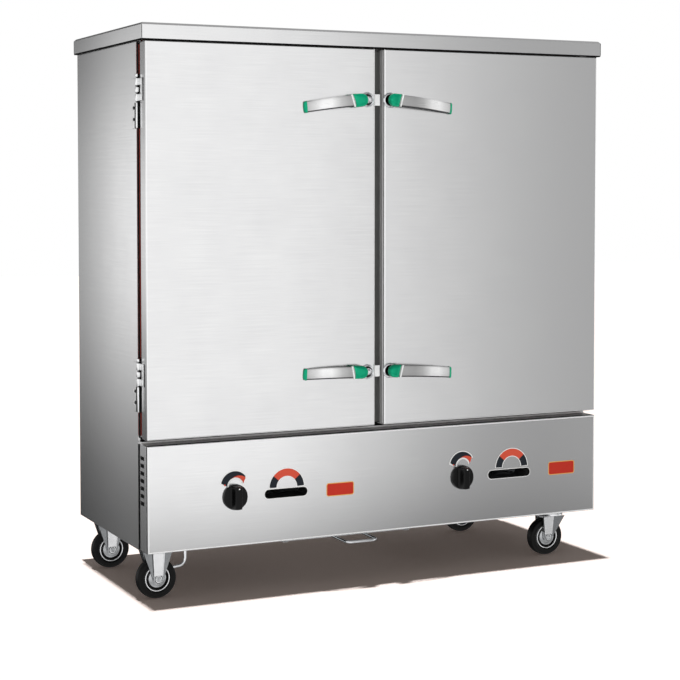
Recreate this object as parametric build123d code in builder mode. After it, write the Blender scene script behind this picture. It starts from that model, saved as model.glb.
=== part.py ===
from build123d import *
import math
import os

os.makedirs("parts", exist_ok=True)

# A two-door gas steaming cabinet on casters. X runs to the right, Y to the back and Z up.
# The floor is Z = 0 and the origin is the middle of the footprint. Lengths are millimetres.

# Outside of the cabinet
cabinet_width = 1430.0
cabinet_height = 1550.0
shell_depth = 539.0
base_height = 135.0
panel_height = 289.5
sill_gap = 15.0
lid_height = 42.4
lid_gap = 4.1
lid_overhang = 8.4
lid_front_overhang = 2.8
lid_bevel = 6.0
rear_reach = 50.0

# Sheet metal and insulation
sheet = 1.5
liner_sheet = 1.2
wall = 45.0
fold = 12.0
panel_side_inset = 3.0
edge_radius = 2.0
fit_gap = 0.3
overrun = 5.0

# Steaming chambers
mullion_width = 120.0
chamber_sill = 41.5
chamber_head = 46.6
tank_inset = 45.0
tank_depth = 97.0
vent_bore = 9.0
vent_wall = 1.5
vent_drop = 60.0
vent_reach = 18.0

# Tray racks
tray_pitch = 75.0
rail_width = 18.0
rail_height = 14.0
rail_sheet = 1.5
rail_margin = 22.0
rack_head = 119.0
upright_width = 20.0
upright_depth = 3.0
upright_setback = 60.0

# Steam grid over each tank
grid_sheet = 1.5
grid_lap = 12.0
grid_slot_length = 90.0
grid_slot_width = 12.0
grid_columns = 4
grid_rows = 8

# Doors
door_thickness = 42.0
door_sheet = 1.2
door_side_inset = 3.0
meeting_gap = 28.0
meeting_offset = -19.6
inner_lift = 6.0
inner_inset = 30.0
gasket_gap = 23.0
gasket_width = 18.0
gasket_inset = 3.0
gasket_base = 6.0
gasket_bulb_width = 14.0
gasket_bulb_radius = 4.0

# Hinges, measured on one hinge from its lowest point
lower_hinge_rise = 70.5
upper_hinge_drop = 231.5
hinge_axis_out = 2.0
hinge_axis_back = 55.0
pin_radius = 2.5
knuckle_radius = 5.0
running_clearance = 0.05
knuckle_gap = 0.5
leaf_thickness = 2.5
leaf_start = 72.0
leaf_height = 62.0
leaf_reach = 28.0
plate_reach = 30.0
tongue_height = 18.0
cap_height = 11.0

# Latches, measured from the pivot
lower_latch_rise = 154.5
upper_latch_drop = 143.5
latch_droops = (-0.8, 3.5)
latch_inset = 21.5
latch_disc_radius = 20.0
latch_disc_height = 6.7
latch_boss_radius = 13.0
post_radius = 6.0
lever_start_gap = 0.5
hub_radius = 11.0
hub_length = 13.0
root_height = 22.0
root_length = 36.0
band_thickness = 3.0
band_length = 200.0
band_height = 34.0
band_end_height = 31.0
band_sag = 8.0
band_bow = 7.0
band_end_drop = 4.0
grip_length = 41.0
grip_height = 37.0
grip_wall = 4.0
grip_back = 8.0
grip_radius = 15.0
cap_length = 6.0
cap_wall = 2.0
grip_edge_angle = 45.0
tongue_width = 11.0
tongue_thickness = 3.0
tongue_clearance = 3.0
keeper_width = 12.0
keeper_tall = 33.0
keeper_neck = 6.0
keeper_head = 16.0
keeper_foot = 30.0
keeper_foot_tall = 50.0
keeper_foot_thick = 3.0

# Control panel and what shows on it
knob_inset = 251.0
knob_z = 270.0
knob_radius = 35.0
knob_skirt = 8.0
knob_height = 30.0
knob_bar_width = 19.0
knob_bar_length = 66.0
knob_step = 3.0
knob_gap = 0.6
knob_bore_depth = 16.0
stem_radius = 4.0
stem_hole_clearance = 1.5
port_offset = 152.5
port_drop = 0.5
port_length = 127.0
port_height = 24.0
port_tube_wall = 1.5
port_tube_depth = 55.0
side_vents = 7
side_vent_pitch = 20.4
side_vent_length = 27.0
side_vent_height = 6.0
side_vent_drop = 36.5
side_vent_setback = 40.5

# Back panel louvres over the burner bay
louvre_rows = 4
louvre_columns = 3
louvre_length = 120.0
louvre_height = 8.0
louvre_pitch = 24.0
louvre_spread = 420.0
louvre_drop = 50.0

# Gas train
valve_length = 34.0
valve_size = 36.0
pipe_radius = 9.0
nipple_radius = 10.5
nipple_length = 30.0
riser_radius = 7.0
manifold_drop = 58.0
gas_inlet_inset = 75.0
gas_reach = 40.0
injector_radius = 5.0
pipe_hole_clearance = 1.5
burner_ring_outer = 115.0
burner_ring_inner = 78.0
burner_ring_height = 26.0
burner_spoke_width = 16.0
burner_hub_radius = 26.0
burner_tube_radius = 17.0
burner_bell_radius = 26.0
burner_bell_length = 30.0
burner_bell_setback = 112.0
burner_foot = 90.0
burner_foot_thick = 5.0
burner_port_length = 22.0
burner_port_width = 4.0
burner_port_ring = 96.0
burner_ports = 12

# Water supply and drain
tank_rim = 14.0
feed_box_width = 92.0
feed_box_depth = 110.0
feed_box_height = 66.0
water_pipe_radius = 8.0
balance_inset = 74.0
balance_rise = 13.0
spout_rise = 6.0
inlet_rise = 48.0
inlet_reach = 32.0
drain_body_radius = 14.0
drain_body_length = 30.0
drain_stem_radius = 4.0
drain_stem_length = 14.0
drain_lever_length = 62.0
drain_lever_width = 12.0
drain_lever_thick = 3.0
drain_lever_bend = 10.0

# Base frame
frame_web = 34.0
frame_flange = 40.0
frame_steel = 3.0
burner_bar = 120.0
tray_bar = 30.0
pad_half = 52.0
pad_half_depth = 45.0

# Drip tray under the base
tray_centre = -72.0
tray_width = 400.0
tray_length = 400.0
tray_height = 20.0
tray_setback = 100.0
tray_sheet = 1.2
runner_sheet = 1.5
runner_lip = 14.0
wire_radius = 3.2
wire_width = 96.0
wire_bend = 12.0
wire_height = 113.0

# Bent rod beside the front left caster
rod_radius = 2.8
rod_inset = 132.0
rod_reach = 49.0
rod_tip_height = 90.0
rod_bend = 18.0
rod_setback = 36.0

# Casters
front_axle_setback = 66.5
rear_axle_inset = 134.0
rigid_inset = 48.0
swivel_front_inset = 108.0
swivel_rear_inset = 171.0
caster_trail = 30.0
wheel_radius = 55.3
tyre_width = 32.0
tyre_shoulder = 6.0
tyre_shoulder_width = 5.0
rim_radius = 35.5
rim_width = 28.0
rim_lip = 2.6
rim_dish_depth = 6.0
hub_face_radius = 11.0
hub_width = 36.0
axle_radius = 5.0
axle_head_radius = 9.5
axle_head_height = 4.5
fork_side_gap = 1.0
fork_steel = 3.0
fork_top = 62.0
fork_bottom = 30.0
fork_rib_width = 34.0
fork_rib_rise = 2.0
caster_plate_length = 85.0
caster_plate_width = 70.0
caster_plate = 3.5
bolt_spacing_x = 66.0
bolt_spacing_y = 48.0
bolt_hole = 8.6
race_radius = 27.0
race_height = 9.0
race_step = 5.0
race_gap = 0.4
kingpin_radius = 6.0
fork_crown_height = 4.0

# Places worked out from the sizes above
lever_back = latch_disc_height + lever_start_gap
band_root = lever_back + hub_length
handle_reach = band_root + band_bow + grip_wall
total_depth = handle_reach + door_thickness + gasket_gap + shell_depth + rear_reach
face_y = -total_depth / 2 + handle_reach
frame_y = face_y + door_thickness + gasket_gap
back_y = frame_y + shell_depth
half_width = cabinet_width / 2
inside_x = half_width - sheet
inside_back_y = back_y - sheet
panel_top = base_height + panel_height
door_bottom = panel_top + sill_gap
lid_bottom = cabinet_height - lid_height
door_top = lid_bottom - lid_gap
lid_inside = cabinet_height - sheet
frame_bottom = base_height + sheet
flange_top = frame_bottom + frame_steel
chamber_width = half_width - wall - mullion_width / 2
chamber_x = half_width - wall - chamber_width / 2
chamber_floor = door_bottom + chamber_sill
chamber_top = lid_bottom - chamber_head
chamber_height = chamber_top - chamber_floor
tray_levels = int((chamber_height - rail_margin - rack_head) / tray_pitch) + 1
chamber_front_y = frame_y + sheet
chamber_back_y = back_y - wall
tank_bottom = chamber_floor - tank_depth
meeting_left = meeting_offset - meeting_gap / 2
meeting_right = meeting_offset + meeting_gap / 2
door_outer_x = half_width - door_side_inset
hinge_x = half_width + hinge_axis_out
hinge_y = face_y + hinge_axis_back
gasket_face_y = frame_y - fit_gap
hinge_heights = (door_bottom + lower_hinge_rise, door_top - upper_hinge_drop)
latch_heights = (door_bottom + lower_latch_rise, door_top - upper_latch_drop)
panel_x = half_width - panel_side_inset
rigid_x = rigid_inset - half_width
swivel_front_x = half_width - swivel_front_inset
swivel_rear_x = half_width - swivel_rear_inset
front_axle_y = face_y + front_axle_setback
rear_axle_y = back_y - rear_axle_inset
tray_floor = wire_height - wire_radius - fit_gap
sides = (("left", -1), ("right", 1))


def front(y):
    """The upright plane at depth y: its own x is X, its own y is Z, and it faces the front."""
    return Plane.XZ.offset(-y)


def block(low, high, mode=Mode.ADD):
    """A rectangular body between two opposite corners."""
    x, y, z = ((a + b) / 2 for a, b in zip(low, high))
    with Locations((x, y, z)):
        Box(*(abs(b - a) for a, b in zip(low, high)), mode=mode)


def rod_x(x0, x1, y, z, radius, mode=Mode.ADD):
    """A round bar that runs along X."""
    with BuildSketch(Plane.YZ.offset(x0)) as section:
        with Locations((y, z)):
            Circle(radius)
    extrude(section.sketch, amount=x1 - x0, mode=mode)


def rod_y(x, z, y0, y1, radius, mode=Mode.ADD):
    """A round bar that runs along Y."""
    with BuildSketch(front(y0)) as section:
        with Locations((x, z)):
            Circle(radius)
    extrude(section.sketch, amount=y0 - y1, mode=mode)


def rod_z(x, y, z0, z1, radius, mode=Mode.ADD):
    """A round bar that stands along Z."""
    with BuildSketch(Plane.XY.offset(z0)) as section:
        with Locations((x, y)):
            Circle(radius)
    extrude(section.sketch, amount=z1 - z0, mode=mode)


def save(builder, name):
    """Label the finished piece and write it as a STEP file."""
    builder.part.label = name
    export_step(builder.part, f"parts/{name}.step")


# Outer shell: side panels, back, lid and front frame

for side, s in sides:
    with BuildPart() as side_panel:
        with BuildSketch(Plane.XY.offset(base_height)):
            with BuildLine():
                Polyline(
                    (s * (half_width - fold), chamber_front_y),
                    (s * half_width, chamber_front_y),
                    (s * half_width, back_y),
                    (s * inside_x, back_y),
                    (s * inside_x, inside_back_y),
                    (s * (half_width - fold), inside_back_y),
                    (s * (half_width - fold), inside_back_y - sheet),
                    (s * inside_x, inside_back_y - sheet),
                    (s * inside_x, chamber_front_y + sheet),
                    (s * (half_width - fold), chamber_front_y + sheet),
                    close=True,
                )
            make_face()
        extrude(amount=lid_inside - base_height)
        block(
            (s * inside_x, chamber_front_y - overrun, base_height - overrun),
            (
                s * (half_width - fold - overrun),
                chamber_front_y + fold,
                frame_bottom + frame_web + fit_gap,
            ),
            mode=Mode.SUBTRACT,
        )
    save(side_panel, f"side_panel_{side}")

drain_z = tank_bottom + balance_rise
gas_inlet_x = half_width - gas_inlet_inset
manifold_z = knob_z - manifold_drop
louvre_z = (base_height + panel_top) / 2 - louvre_drop
inlet_z = drain_z + water_pipe_radius + spout_rise + inlet_rise
vent_z = chamber_top - vent_drop

with BuildPart() as back_panel:
    block((-inside_x, inside_back_y, base_height), (inside_x, back_y, lid_inside))
    with BuildSketch(front(back_y + overrun)):
        with Locations((0, louvre_z)):
            with GridLocations(louvre_spread, louvre_pitch, louvre_columns, louvre_rows):
                Rectangle(louvre_length, louvre_height)
        with Locations((gas_inlet_x, manifold_z)):
            Circle(pipe_radius + pipe_hole_clearance)
        with Locations((0, drain_z), (0, inlet_z)):
            Circle(water_pipe_radius + pipe_hole_clearance)
        with Locations((-chamber_x, vent_z), (chamber_x, vent_z)):
            Circle(vent_bore + vent_wall)
    extrude(amount=sheet + overrun * 2, mode=Mode.SUBTRACT)
save(back_panel, "back_panel")

lid_front_y = face_y - lid_front_overhang
lid_back_y = back_y + lid_overhang
lid_x = half_width + lid_overhang
with BuildPart() as top_cover:
    block((-lid_x, lid_front_y, lid_bottom), (lid_x, lid_back_y, cabinet_height))
    chamfer(top_cover.faces().sort_by(Axis.Z)[-1].edges(), lid_bevel)
    block(
        (-lid_x + sheet, lid_front_y + sheet, lid_bottom + sheet),
        (lid_x - sheet, lid_back_y - sheet, cabinet_height - lid_bevel - sheet),
        mode=Mode.SUBTRACT,
    )
    block(
        (-half_width + lid_bevel, frame_y, cabinet_height - lid_bevel - sheet - overrun),
        (half_width - lid_bevel, back_y - lid_bevel, lid_inside),
        mode=Mode.SUBTRACT,
    )
    block(
        (-half_width - fit_gap, frame_y - fit_gap, lid_bottom - overrun),
        (half_width + fit_gap, back_y + fit_gap, lid_inside),
        mode=Mode.SUBTRACT,
    )
save(top_cover, "top_cover")

opening_edges = [(s * chamber_x, chamber_floor + chamber_height / 2) for _, s in sides]
with BuildPart() as front_frame:
    with BuildSketch(front(frame_y)):
        with Locations((0, (panel_top + lid_inside) / 2)):
            Rectangle(cabinet_width, lid_inside - panel_top)
        with Locations(*opening_edges):
            Rectangle(chamber_width, chamber_height, mode=Mode.SUBTRACT)
    extrude(amount=-sheet)
save(front_frame, "front_frame")

# Control panel with its side returns, vent slots, knob holes and lighting ports

knob_places = [(knob_inset - panel_x, knob_z), (knob_inset, knob_z)]
port_places = [(x + port_offset, z - port_drop) for x, z in knob_places]

with BuildPart() as control_panel:
    block((-panel_x, face_y, base_height), (panel_x, frame_y, panel_top))
    fillet(control_panel.faces().sort_by(Axis.Y)[0].edges(), edge_radius)
    block(
        (-panel_x + sheet, face_y + sheet, base_height + sheet),
        (panel_x - sheet, frame_y + overrun, panel_top - sheet),
        mode=Mode.SUBTRACT,
    )
    block(
        (-panel_x + sheet, face_y + sheet + fold, base_height - overrun),
        (panel_x - sheet, frame_y + overrun, panel_top - sheet),
        mode=Mode.SUBTRACT,
    )
    with BuildSketch(front(face_y - overrun)):
        with Locations(*knob_places):
            Circle(stem_radius + stem_hole_clearance)
        with Locations(*port_places):
            SlotOverall(port_length, port_height)
    extrude(amount=-sheet - overrun * 2, mode=Mode.SUBTRACT)
    vent_middle = panel_top - side_vent_drop - side_vent_pitch * (side_vents - 1) / 2
    with BuildSketch(Plane.YZ.offset(-half_width)):
        with Locations((face_y + side_vent_setback, vent_middle)):
            with GridLocations(side_vent_length, side_vent_pitch, 1, side_vents):
                Rectangle(side_vent_length, side_vent_height)
    extrude(amount=cabinet_width, mode=Mode.SUBTRACT)
save(control_panel, "control_panel")

with BuildPart() as lighting_ports:
    with BuildSketch(front(face_y + sheet + port_tube_depth)):
        with Locations(*port_places):
            SlotOverall(port_length + port_tube_wall * 2, port_height + port_tube_wall * 2)
            SlotOverall(port_length, port_height, mode=Mode.SUBTRACT)
    extrude(amount=port_tube_depth)
save(lighting_ports, "lighting_ports")

# Base frame: an angle ring with cross bars and caster pads

pads = (
    (rigid_x, face_y + sheet, front_axle_y + pad_half_depth),
    (swivel_front_x, face_y + sheet, front_axle_y + pad_half_depth),
    (rigid_x, rear_axle_y - pad_half_depth, inside_back_y - sheet),
    (swivel_rear_x, rear_axle_y - pad_half_depth, inside_back_y - sheet),
)
frame_x = inside_x - panel_side_inset - fit_gap
frame_front_y = face_y + sheet + fit_gap
frame_back_y = inside_back_y - sheet
frame_low = (-frame_x, frame_front_y)
frame_high = (frame_x, frame_back_y)
runner_x = tray_width / 2 + runner_sheet + fit_gap + tray_bar / 2
bars = [(s * chamber_x, burner_bar) for _, s in sides]
bars += [(tray_centre + s * runner_x, tray_bar) for _, s in sides]

with BuildPart() as base_frame:
    block((*frame_low, frame_bottom), (*frame_high, frame_bottom + frame_web))
    block(
        (frame_low[0] + frame_steel, frame_low[1] + frame_steel, flange_top),
        (frame_high[0] - frame_steel, frame_high[1] - frame_steel, frame_bottom + frame_web + overrun),
        mode=Mode.SUBTRACT,
    )
    block(
        (frame_low[0] + frame_flange, frame_low[1] + frame_flange, frame_bottom - overrun),
        (frame_high[0] - frame_flange, frame_high[1] - frame_flange, flange_top + overrun),
        mode=Mode.SUBTRACT,
    )
    for bar_x, bar_width in bars:
        block(
            (bar_x - bar_width / 2, frame_low[1] + frame_steel, frame_bottom),
            (bar_x + bar_width / 2, frame_high[1] - frame_steel, flange_top),
        )
    for pad_x, pad_front, pad_back in pads:
        block(
            (max(pad_x - pad_half, frame_low[0]), max(pad_front, frame_low[1]), frame_bottom),
            (min(pad_x + pad_half, frame_high[0]), pad_back, flange_top),
        )
save(base_frame, "base_frame")

# Steaming chambers with their water tanks, insulation, vents, racks and grids

half_chamber = chamber_width / 2
tank_half = half_chamber - tank_inset
tank_front_y = chamber_front_y + tank_inset
tank_back_y = chamber_back_y - tank_inset
balance_y = tank_back_y - balance_inset

for side, s in sides:
    x = s * chamber_x
    with BuildPart() as chamber:
        block(
            (x - half_chamber - liner_sheet, chamber_front_y, chamber_floor - liner_sheet),
            (x + half_chamber + liner_sheet, chamber_back_y + liner_sheet, chamber_top + liner_sheet),
        )
        block(
            (x - half_chamber, chamber_front_y - overrun, chamber_floor),
            (x + half_chamber, chamber_back_y, chamber_top),
            mode=Mode.SUBTRACT,
        )
        block(
            (x - tank_half - liner_sheet, tank_front_y - liner_sheet, chamber_floor - overrun),
            (x + tank_half + liner_sheet, tank_back_y + liner_sheet, chamber_floor + overrun),
            mode=Mode.SUBTRACT,
        )
        rod_y(x, vent_z, chamber_back_y - overrun, back_y, vent_bore, mode=Mode.SUBTRACT)
    save(chamber, f"chamber_{side}")

    rail_x = half_chamber
    first_rail = chamber_floor + rail_margin
    rack_top = first_rail + tray_pitch * (tray_levels - 1) + rail_height * 2
    rail_front_y = chamber_front_y + upright_setback / 2
    rail_back_y = chamber_back_y - upright_setback / 2
    with BuildPart() as tray_rack:
        for _, t in sides:
            wall_x = x + t * rail_x
            web_x = wall_x - t * upright_depth
            for upright_y in (chamber_front_y + upright_setback, chamber_back_y - upright_setback):
                block(
                    (wall_x, upright_y - upright_width / 2, chamber_floor),
                    (web_x, upright_y + upright_width / 2, rack_top),
                )
            with BuildSketch(front(rail_front_y)):
                with BuildLine():
                    Polyline(
                        (web_x, first_rail),
                        (web_x - t * rail_width, first_rail),
                        (web_x - t * rail_width, first_rail + rail_sheet),
                        (web_x - t * rail_sheet, first_rail + rail_sheet),
                        (web_x - t * rail_sheet, first_rail + rail_height),
                        (web_x, first_rail + rail_height),
                        close=True,
                    )
                make_face()
            rail = extrude(amount=rail_front_y - rail_back_y, mode=Mode.PRIVATE)
            for level in range(tray_levels):
                add(rail.moved(Location((0, 0, level * tray_pitch))))
    save(tray_rack, f"tray_rack_{side}")

with BuildPart() as water_tanks:
    for _, s in sides:
        x = s * chamber_x
        block(
            (x - tank_half - liner_sheet, tank_front_y - liner_sheet, tank_bottom),
            (x + tank_half + liner_sheet, tank_back_y + liner_sheet, chamber_floor + liner_sheet),
        )
        block(
            (x - tank_half - tank_rim, tank_front_y - tank_rim, chamber_floor),
            (x + tank_half + tank_rim, tank_back_y + tank_rim, chamber_floor + liner_sheet),
        )
        block(
            (x - tank_half, tank_front_y, tank_bottom + liner_sheet),
            (x + tank_half, tank_back_y, chamber_floor + overrun),
            mode=Mode.SUBTRACT,
        )
        rod_x(
            x - s * (tank_half - overrun),
            x - s * (tank_half + overrun),
            balance_y,
            drain_z,
            water_pipe_radius - liner_sheet,
            mode=Mode.SUBTRACT,
        )
save(water_tanks, "water_tanks")

with BuildPart() as steam_grids:
    for _, s in sides:
        x = s * chamber_x
        grid_y = (tank_front_y + tank_back_y) / 2
        with BuildSketch(Plane.XY.offset(chamber_floor + liner_sheet)):
            with Locations((x, grid_y)):
                Rectangle((tank_half + grid_lap) * 2, tank_back_y - tank_front_y + grid_lap * 2)
                with GridLocations(
                    tank_half * 2 / grid_columns,
                    (tank_back_y - tank_front_y) / grid_rows,
                    grid_columns,
                    grid_rows,
                ):
                    Rectangle(grid_slot_length, grid_slot_width, mode=Mode.SUBTRACT)
        extrude(amount=grid_sheet)
save(steam_grids, "steam_grids")

foam_front_y = chamber_front_y + sheet
foam_back_y = inside_back_y - sheet
with BuildPart() as insulation:
    block(
        (-inside_x, foam_front_y, chamber_floor - liner_sheet),
        (inside_x, foam_back_y, lid_inside - fit_gap),
    )
    for _, s in sides:
        x = s * chamber_x
        block(
            (x - half_chamber - liner_sheet, foam_front_y - overrun, chamber_floor - overrun),
            (x + half_chamber + liner_sheet, chamber_back_y + liner_sheet, chamber_top + liner_sheet),
            mode=Mode.SUBTRACT,
        )
        rod_y(x, vent_z, chamber_back_y, back_y, vent_bore + vent_wall, mode=Mode.SUBTRACT)
save(insulation, "insulation")

with BuildPart() as steam_vents:
    for _, s in sides:
        x = s * chamber_x
        vent_end = back_y + vent_reach
        rod_y(x, vent_z, chamber_back_y + liner_sheet, vent_end, vent_bore + vent_wall)
        rod_y(x, vent_z, chamber_back_y, vent_end + overrun, vent_bore, mode=Mode.SUBTRACT)
save(steam_vents, "steam_vents")

# Burners, gas valves and manifold

ring_middle = knob_z
with BuildPart() as burners:
    for _, s in sides:
        x = s * chamber_x
        ring_y = (chamber_front_y + chamber_back_y) / 2
        ring_low = ring_middle - burner_ring_height / 2
        bell_y = face_y + burner_bell_setback
        half_port_turn = 360 / burner_ports / 2
        with BuildSketch(Plane.XY.offset(ring_low)):
            with Locations((x, ring_y)):
                Circle(burner_ring_outer)
                Circle(burner_ring_inner, mode=Mode.SUBTRACT)
                Rectangle(burner_ring_inner * 2 + burner_spoke_width, burner_spoke_width)
                Rectangle(burner_spoke_width, burner_ring_inner * 2 + burner_spoke_width)
                Circle(burner_hub_radius)
                with PolarLocations(burner_port_ring, burner_ports, start_angle=half_port_turn):
                    Rectangle(burner_port_length, burner_port_width, mode=Mode.SUBTRACT)
        extrude(amount=burner_ring_height)
        rod_z(x, ring_y, flange_top, ring_low, burner_tube_radius)
        block(
            (x - burner_foot / 2, ring_y - burner_foot / 2, flange_top),
            (x + burner_foot / 2, ring_y + burner_foot / 2, flange_top + burner_foot_thick),
        )
        tube_end_y = ring_y - burner_ring_inner
        rod_y(x, ring_middle, bell_y + burner_bell_length, tube_end_y, burner_tube_radius)
        with BuildSketch(front(bell_y)):
            with Locations((x, ring_middle)):
                Circle(burner_bell_radius)
        with BuildSketch(front(bell_y + burner_bell_length)):
            with Locations((x, ring_middle)):
                Circle(burner_tube_radius)
        loft()
        rod_y(
            x,
            ring_middle,
            bell_y - overrun,
            bell_y + burner_bell_length,
            burner_tube_radius - sheet * 2,
            mode=Mode.SUBTRACT,
        )
save(burners, "burners")

valve_front_y = face_y + sheet
valve_back_y = valve_front_y + valve_length
injector_y = valve_back_y + valve_size
with BuildPart() as gas_valves:
    for (knob_x, _), (_, s) in zip(knob_places, sides):
        half_valve = valve_size / 2
        rod_y(knob_x, knob_z, valve_front_y, valve_back_y, half_valve)
        rod_y(knob_x, knob_z, face_y - knob_gap - knob_bore_depth, valve_front_y, stem_radius)
        rod_y(knob_x, ring_middle, valve_back_y, injector_y, riser_radius)
        rod_x(knob_x, s * chamber_x + riser_radius, injector_y, ring_middle, riser_radius)
        rod_y(s * chamber_x, ring_middle, injector_y, face_y + burner_bell_setback, injector_radius)
save(gas_valves, "gas_valves")

manifold_y = (valve_front_y + valve_back_y) / 2 + pipe_radius
with BuildPart() as gas_manifold:
    rod_x(knob_places[0][0] - valve_size, gas_inlet_x, manifold_y, manifold_z, pipe_radius)
    nipple_y = back_y + gas_reach - nipple_length
    rod_y(gas_inlet_x, manifold_z, manifold_y, nipple_y, pipe_radius)
    rod_y(gas_inlet_x, manifold_z, nipple_y, back_y + gas_reach, nipple_radius)
    with Locations((gas_inlet_x, manifold_y, manifold_z)):
        Sphere(pipe_radius)
    for knob_x, _ in knob_places:
        rod_z(knob_x, manifold_y, manifold_z, knob_z, riser_radius)
    for knob_x, _ in knob_places:
        rod_y(
            knob_x,
            knob_z,
            valve_front_y - overrun,
            valve_back_y + overrun,
            valve_size / 2,
            mode=Mode.SUBTRACT,
        )
        rod_y(knob_x, knob_z, valve_back_y, injector_y, riser_radius, mode=Mode.SUBTRACT)
save(gas_manifold, "gas_manifold")

# Water feed box, balance pipe with its drain cock, and the cock's lever

box_bottom = drain_z + water_pipe_radius + spout_rise
feed_top = box_bottom + feed_box_height
tank_gap = chamber_x - tank_half - liner_sheet
with BuildPart() as water_feed_box:
    block(
        (-feed_box_width / 2, balance_y - feed_box_depth / 2, box_bottom),
        (feed_box_width / 2, balance_y + feed_box_depth / 2, feed_top),
    )
    fillet(water_feed_box.edges().filter_by(Axis.Z), edge_radius)
    rod_y(0, inlet_z, balance_y + feed_box_depth / 2, back_y + inlet_reach, water_pipe_radius)
    rod_y(0, inlet_z, back_y + fit_gap, back_y + inlet_reach, nipple_radius)
save(water_feed_box, "water_feed_box")

drain_y = back_y + drain_body_length / 2
with BuildPart() as water_pipe:
    rod_x(-tank_gap, tank_gap, balance_y, drain_z, water_pipe_radius)
    rod_z(0, balance_y, drain_z, box_bottom, water_pipe_radius)
    rod_y(0, drain_z, balance_y, back_y + drain_body_length, water_pipe_radius)
    rod_y(0, drain_z, back_y + drain_body_length, back_y + rear_reach, nipple_radius)
    rod_y(0, drain_z, back_y + fit_gap, back_y + fit_gap + drain_body_length, drain_body_radius)
    rod_z(0, drain_y, drain_z, drain_z + drain_body_radius + drain_stem_length, drain_stem_radius)
save(water_pipe, "water_pipe")

lever_z = drain_z + drain_body_radius + fit_gap
arm_z = lever_z + drain_lever_bend
with BuildPart() as drain_lever:
    rod_z(0, drain_y, lever_z, lever_z + drain_stem_length - fit_gap, drain_stem_radius * 2)
    block(
        (0, drain_y - drain_lever_width / 2, arm_z),
        (drain_lever_length, drain_y + drain_lever_width / 2, arm_z + drain_lever_thick),
    )
    arm_end = drain_lever.faces().sort_by(Axis.X)[-1]
    fillet(arm_end.edges().filter_by(Axis.Z), drain_lever_width / 3)
    rod_z(
        0,
        drain_y,
        lever_z - overrun,
        lever_z + drain_stem_length + overrun,
        drain_stem_radius + running_clearance,
        mode=Mode.SUBTRACT,
    )
save(drain_lever, "drain_lever")

# Doors: outer pan, foamed inner panel, gasket, hinge leaves, latch bases

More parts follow.
